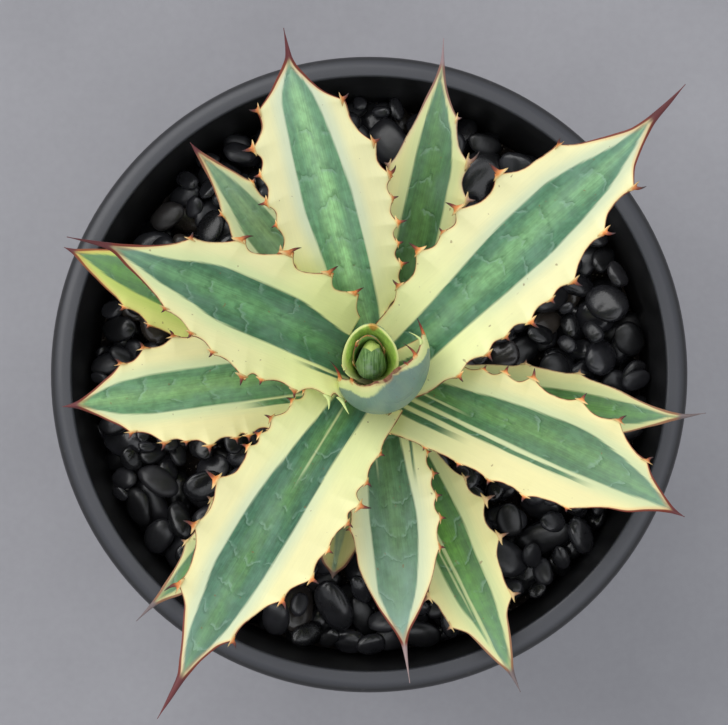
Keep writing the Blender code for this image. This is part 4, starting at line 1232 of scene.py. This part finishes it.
def make_pot():
    """The moulded pot, turned finely, with drain holes through its floor."""
    shoulder = (RIM_RADIUS - RIM_SHOULDER, RIM_TOP - RIM_SHOULDER)
    skirt = RIM_TOP - RIM_SKIRT
    lip = RIM_RADIUS - RIM_BAND
    inner_shoulder = RIM_SHOULDER - POT_WALL
    edge = SKIRT_ROUNDING
    profile = arc((lip + LIP_ROUNDING, RIM_TOP - LIP_ROUNDING), LIP_ROUNDING, 180, 90, 6)
    profile += arc(shoulder, RIM_SHOULDER, 90, 0, 14)
    profile += [(RIM_RADIUS, between(RIM_TOP, skirt, share)) for share in (0.5, 0.8)]
    profile += arc((RIM_RADIUS - edge, skirt + edge), edge, 0, -90, 4)
    profile += arc((RIM_RADIUS - POT_WALL + edge, skirt + edge), edge, -90, -180, 4)
    profile += arc(shoulder, inner_shoulder, 0, 90, 8)
    band_under = RIM_TOP - POT_WALL
    profile += [(pot_inner_radius(height) + POT_WALL, height)
                for height in np.linspace(band_under, 2.0 * BASE_ROUNDING, 14)]
    profile += arc((BASE_RADIUS - BASE_ROUNDING, BASE_ROUNDING), BASE_ROUNDING, 0, -90, 8)
    profile += [(radius, 0.0) for radius in FLOOR_RINGS]
    inside = [(radius, POT_FLOOR) for radius in reversed(FLOOR_RINGS)]
    inside += [(pot_inner_radius(height), height)
               for height in np.linspace(POT_FLOOR, RIM_TOP - 2.0 * LIP_ROUNDING, 18)]
    angles = np.linspace(0.0, math.tau, POT_STEPS, endpoint=False)
    loop = profile + inside
    rows = [[(radius * math.cos(angle), radius * math.sin(angle), height) for radius, height in loop]
            for angle in angles]
    columns = len(loop)
    points = np.array(rows).reshape(-1, 3)
    faces = []
    bottom, top = len(profile) - 1, len(profile)
    for row in range(POT_STEPS):
        after = (row + 1) % POT_STEPS
        for column in range(columns):
            if column == bottom:
                continue
            follow = (column + 1) % columns
            faces.append((row * columns + column, row * columns + follow,
                          after * columns + follow, after * columns + column))
    faces.append(tuple(row * columns + bottom for row in range(POT_STEPS)))
    faces.append(tuple(row * columns + top for row in reversed(range(POT_STEPS))))
    shell = make_mesh("pot_shell", points, faces, pot_material(), "black_plastic")
    cut_drains(shell)
    shell.data.set_sharp_from_angle(angle=math.radians(POT_SHARP_DEGREES))
    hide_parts("pot")


def cut_drains(shell):
    """Cut the drain holes out of the pot's floor and throw the cutter away."""
    points, faces = [], []
    steps = 32
    for index in range(DRAIN_COUNT):
        around = math.tau * index / DRAIN_COUNT
        first = 2 * steps * index
        for height in (-POT_FLOOR, 2.0 * POT_FLOOR):
            for step in range(steps):
                angle = math.tau * step / steps
                points.append((DRAIN_CIRCLE * math.cos(around) + DRAIN_RADIUS * math.cos(angle),
                               DRAIN_CIRCLE * math.sin(around) + DRAIN_RADIUS * math.sin(angle), height))
        faces += skin(2, steps, first)
    mesh = bpy.data.meshes.new("drain_cutter")
    mesh.from_pydata(points, [], faces)
    cutter = bpy.data.objects.new("drain_cutter", mesh)
    bpy.context.scene.collection.objects.link(cutter)
    cut = shell.modifiers.new("drains", "BOOLEAN")
    cut.operation = "DIFFERENCE"
    cut.object = cutter
    bpy.context.view_layer.update()
    evaluated = shell.evaluated_get(bpy.context.evaluated_depsgraph_get())
    carved = bpy.data.meshes.new_from_object(evaluated)
    shell.modifiers.clear()
    shell.data = carved
    bpy.data.objects.remove(cutter, do_unlink=True)


# ---------------------------------------------------------------- pebbles

PEBBLE_SEED = 11
PEBBLE_CELL = 0.0006
PEBBLE_TRIES = 26
PEBBLE_MOST = 1150
PEBBLE_MISSES = 150
PEBBLES_PER_PIECE = 260
PEBBLE_FACE_STEPS = 7
DEEP_FACE_STEPS = 4

# A pebble's half length: the usual one, how much the sizes spread, the least and the largest,
# and how much smaller they get as the bed fills. Then its half width and half thickness as
# shares of that, how deep the coarser ones lie and how far one may stand out of the bed.
PEBBLE_HALF = 0.0054
PEBBLE_SPREAD = 0.22
PEBBLE_LEAST = 0.0034
PEBBLE_LARGEST = 0.0082
PEBBLE_SHRINK = 0.45
PEBBLE_WIDE = (0.56, 0.82)
PEBBLE_THICK = (0.34, 0.48)
PEBBLE_DEEP = 0.0085
PEBBLE_OUT = 0.0012
PEBBLE_MOST_TILT = 0.45
PEBBLE_TILT_SHARE = 0.8


def pebble_ball(steps):
    """A cube's faces blown up to a ball: points and quads with even spacing."""
    ticks = np.tan(np.linspace(-0.25 * math.pi, 0.25 * math.pi, steps + 1))
    found, points, faces = {}, [], []

    def index_of(point):
        key = tuple(np.round(point, 6))
        if key not in found:
            found[key] = len(points)
            points.append(np.array(point) / np.linalg.norm(point))
        return found[key]

    for axis in range(3):
        for sign in (-1.0, 1.0):
            for first, first_next in zip(ticks, ticks[1:]):
                for second, second_next in zip(ticks, ticks[1:]):
                    corners = []
                    for one, two in ((first, second), (first_next, second),
                                     (first_next, second_next), (first, second_next)):
                        point = [0.0, 0.0, 0.0]
                        point[axis] = sign
                        point[(axis + 1) % 3] = one
                        point[(axis + 2) % 3] = two
                        corners.append(index_of(point))
                    faces.append(tuple(corners if sign > 0 else corners[::-1]))
    return np.array(points), faces


def settle_pebbles():
    """Drop pebbles one by one, each to the lowest of a few places that it finds."""
    rng = random.Random(PEBBLE_SEED)
    reach = RIM_RADIUS
    count = int(2 * reach / PEBBLE_CELL) + 1
    ticks = np.linspace(-reach, reach, count)
    ground_x, ground_y = np.meshgrid(ticks, ticks, indexing="ij")
    ground = np.full((count, count), SOIL_TOP)
    placed = []
    misses = 0
    while len(placed) < PEBBLE_MOST and misses < PEBBLE_MISSES:
        size = rng.lognormvariate(math.log(PEBBLE_HALF), PEBBLE_SPREAD)
        size = min(max(size, PEBBLE_LEAST), PEBBLE_LARGEST)
        size *= 1.0 - PEBBLE_SHRINK * misses / PEBBLE_MISSES
        wide, thick = size * rng.uniform(*PEBBLE_WIDE), size * rng.uniform(*PEBBLE_THICK)
        turn = rng.uniform(0.0, math.pi)
        best = None
        for _ in range(PEBBLE_TRIES):
            angle = rng.uniform(0.0, math.tau)
            wall = pot_inner_radius(BED_TOP) - 0.85 * size
            nearest = STEM_FOOT_RADIUS * 0.9
            distance = math.sqrt(rng.uniform(nearest ** 2, wall ** 2))
            x, y = distance * math.cos(angle), distance * math.sin(angle)
            low_x, low_y = (int((value - size + reach) / PEBBLE_CELL) for value in (x, y))
            span = int(2 * size / PEBBLE_CELL) + 2
            window = (slice(max(low_x, 0), low_x + span), slice(max(low_y, 0), low_y + span))
            dx, dy = ground_x[window] - x, ground_y[window] - y
            one = (dx * math.cos(turn) + dy * math.sin(turn)) / size
            two = (-dx * math.sin(turn) + dy * math.cos(turn)) / wide
            away = one ** 2 + two ** 2
            covered = away < 1.0
            dome = thick * np.sqrt(np.clip(1.0 - away, 0.0, 1.0))
            height = float(np.max(np.where(covered, ground[window] + dome, 0.0)))
            if best is None or height < best[0]:
                under = np.where(covered, ground[window], 0.0)
                tilt_x, tilt_y = (float(np.sum(under * run) / np.sum(covered * run * run))
                                  for run in (dx, dy))
                best = (height, x, y, window, covered, dome, tilt_x, tilt_y)
        height, x, y, window, covered, dome, tilt_x, tilt_y = best
        if height + 0.6 * thick > BED_TOP + PEBBLE_OUT:
            misses += 1
            continue
        ground[window] = np.where(covered, height + dome, ground[window])
        lean_x, lean_y = (max(-PEBBLE_MOST_TILT, min(PEBBLE_MOST_TILT, PEBBLE_TILT_SHARE * tilt))
                          for tilt in (tilt_x, tilt_y))
        normal = Vector((-lean_x, -lean_y, 1.0))
        placed.append(dict(place=Vector((x, y, height)), size=(size, wide, thick), turn=turn,
                           normal=normal.normalized(), tone=rng.random(), gloss=rng.random(),
                           seed=rng.uniform(0.0, 100.0)))
    return placed


def make_pebbles():
    """The settled pebbles as a few meshes; those deep in the bed are made coarser."""
    ball, quads = pebble_ball(PEBBLE_FACE_STEPS)
    coarse_ball, coarse_quads = pebble_ball(DEEP_FACE_STEPS)
    material = pebble_material()
    placed = settle_pebbles()
    for piece in range(0, len(placed), PEBBLES_PER_PIECE):
        points, faces, marks, first = [], [], [], 0
        for stone in placed[piece:piece + PEBBLES_PER_PIECE]:
            deep = stone["place"].z < BED_TOP - PEBBLE_DEEP
            unit, cells = (coarse_ball, coarse_quads) if deep else (ball, quads)
            seed = Vector((stone["seed"], 0.0, 0.0))
            swell = np.array([1.0 + 0.11 * noise.noise(Vector(point) * 1.1 + seed) for point in unit])
            shape = np.sign(unit) * np.abs(unit) ** np.array([0.92, 0.92, 0.84])
            shape = shape * swell[:, None] * np.array(stone["size"])
            lean = Vector((0, 0, 1)).rotation_difference(stone["normal"]).to_matrix()
            turned = np.array(lean) @ np.array([[math.cos(stone["turn"]), -math.sin(stone["turn"]), 0],
                                                [math.sin(stone["turn"]), math.cos(stone["turn"]), 0],
                                                [0, 0, 1]])
            points.append(shape @ turned.T + np.array(stone["place"]))
            faces.extend(tuple(first + corner for corner in quad) for quad in cells)
            marks.append(np.tile([stone["tone"], stone["gloss"], 0.0], (len(unit), 1)))
            first += len(unit)
        name = "pebbles_" + str(piece // PEBBLES_PER_PIECE + 1)
        item = make_mesh(name, np.concatenate(points), faces, material, "black_pebbles",
                         {"pebble": np.concatenate(marks)})
        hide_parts("gravel_bed")


# ---------------------------------------------------------------- what the model keeps

def give_material(node, material):
    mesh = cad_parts[node].data
    mesh.materials.clear()
    mesh.materials.append(material)


# ---------------------------------------------------------------- studio

# RIM_SHARE is the rim's radius as a share of the picture's width.
CAMERA_DISTANCE = 0.85
CAMERA_TILT = 3.0
CAMERA_SHIFT = (-0.0071, 0.0136)
SENSOR_WIDTH = 36.0
RIM_SHARE = 0.4389

FLOOR_HALF = 1.6
SKY_COLOUR = (0.93, 0.96, 1.0, 1.0)
SKY_STRENGTH = 0.67

# Each lamp's name, place, width, power and colour.
LAMPS = (("key", (-0.75, 0.70, 1.30), 1.6, 14.8, (1.0, 0.99, 0.97)),
         ("fill", (0.55, -0.45, 1.6), 1.6, 5.0, (0.97, 0.98, 1.0)))


def make_studio():
    """A pale floor, a big soft light high on the left, a weak one opposite and a pale sky."""
    corners = [(x * FLOOR_HALF, y * FLOOR_HALF, 0) for x, y in ((-1, -1), (1, -1), (1, 1), (-1, 1))]
    floor = make_mesh("floor", corners, [(0, 1, 2, 3)], floor_material(), None)

    for name, place, width, power, colour in LAMPS:
        light = bpy.data.lights.new(name, "AREA")
        light.shape = "SQUARE"
        light.size = width
        light.energy = power
        light.color = colour
        item = bpy.data.objects.new(name, light)
        bpy.context.scene.collection.objects.link(item)
        item.location = place
        aim = Vector((0.0, 0.0, RIM_TOP)) - Vector(place)
        item.rotation_euler = aim.to_track_quat("-Z", "Y").to_euler()

    world = bpy.data.worlds.new("pale_sky")
    bpy.context.scene.world = world
    world.use_nodes = True
    sky = world.node_tree.nodes["Background"]
    sky.inputs["Color"].default_value = SKY_COLOUR
    sky.inputs["Strength"].default_value = SKY_STRENGTH


def make_camera():
    """Looks down on the rim's centre, a little from the front."""
    data = bpy.data.cameras.new("camera")
    data.sensor_width = SENSOR_WIDTH
    data.lens = SENSOR_WIDTH * RIM_SHARE * CAMERA_DISTANCE / RIM_RADIUS
    data.shift_x, data.shift_y = CAMERA_SHIFT
    camera = bpy.data.objects.new("camera", data)
    bpy.context.scene.collection.objects.link(camera)
    tilt = math.radians(CAMERA_TILT)
    camera.location = (0.0, -CAMERA_DISTANCE * math.sin(tilt), RIM_TOP + CAMERA_DISTANCE * math.cos(tilt))
    camera.rotation_euler = (tilt, 0.0, 0.0)
    bpy.context.scene.camera = camera


bpy.context.scene.view_settings.view_transform = "Standard"
make_camera()
make_studio()
make_pot()
make_pebbles()
give_material("soil", soil_material())
give_material("stem", stem_material())
make_leaves()
make_bud()

bpy.context.view_layer.update()
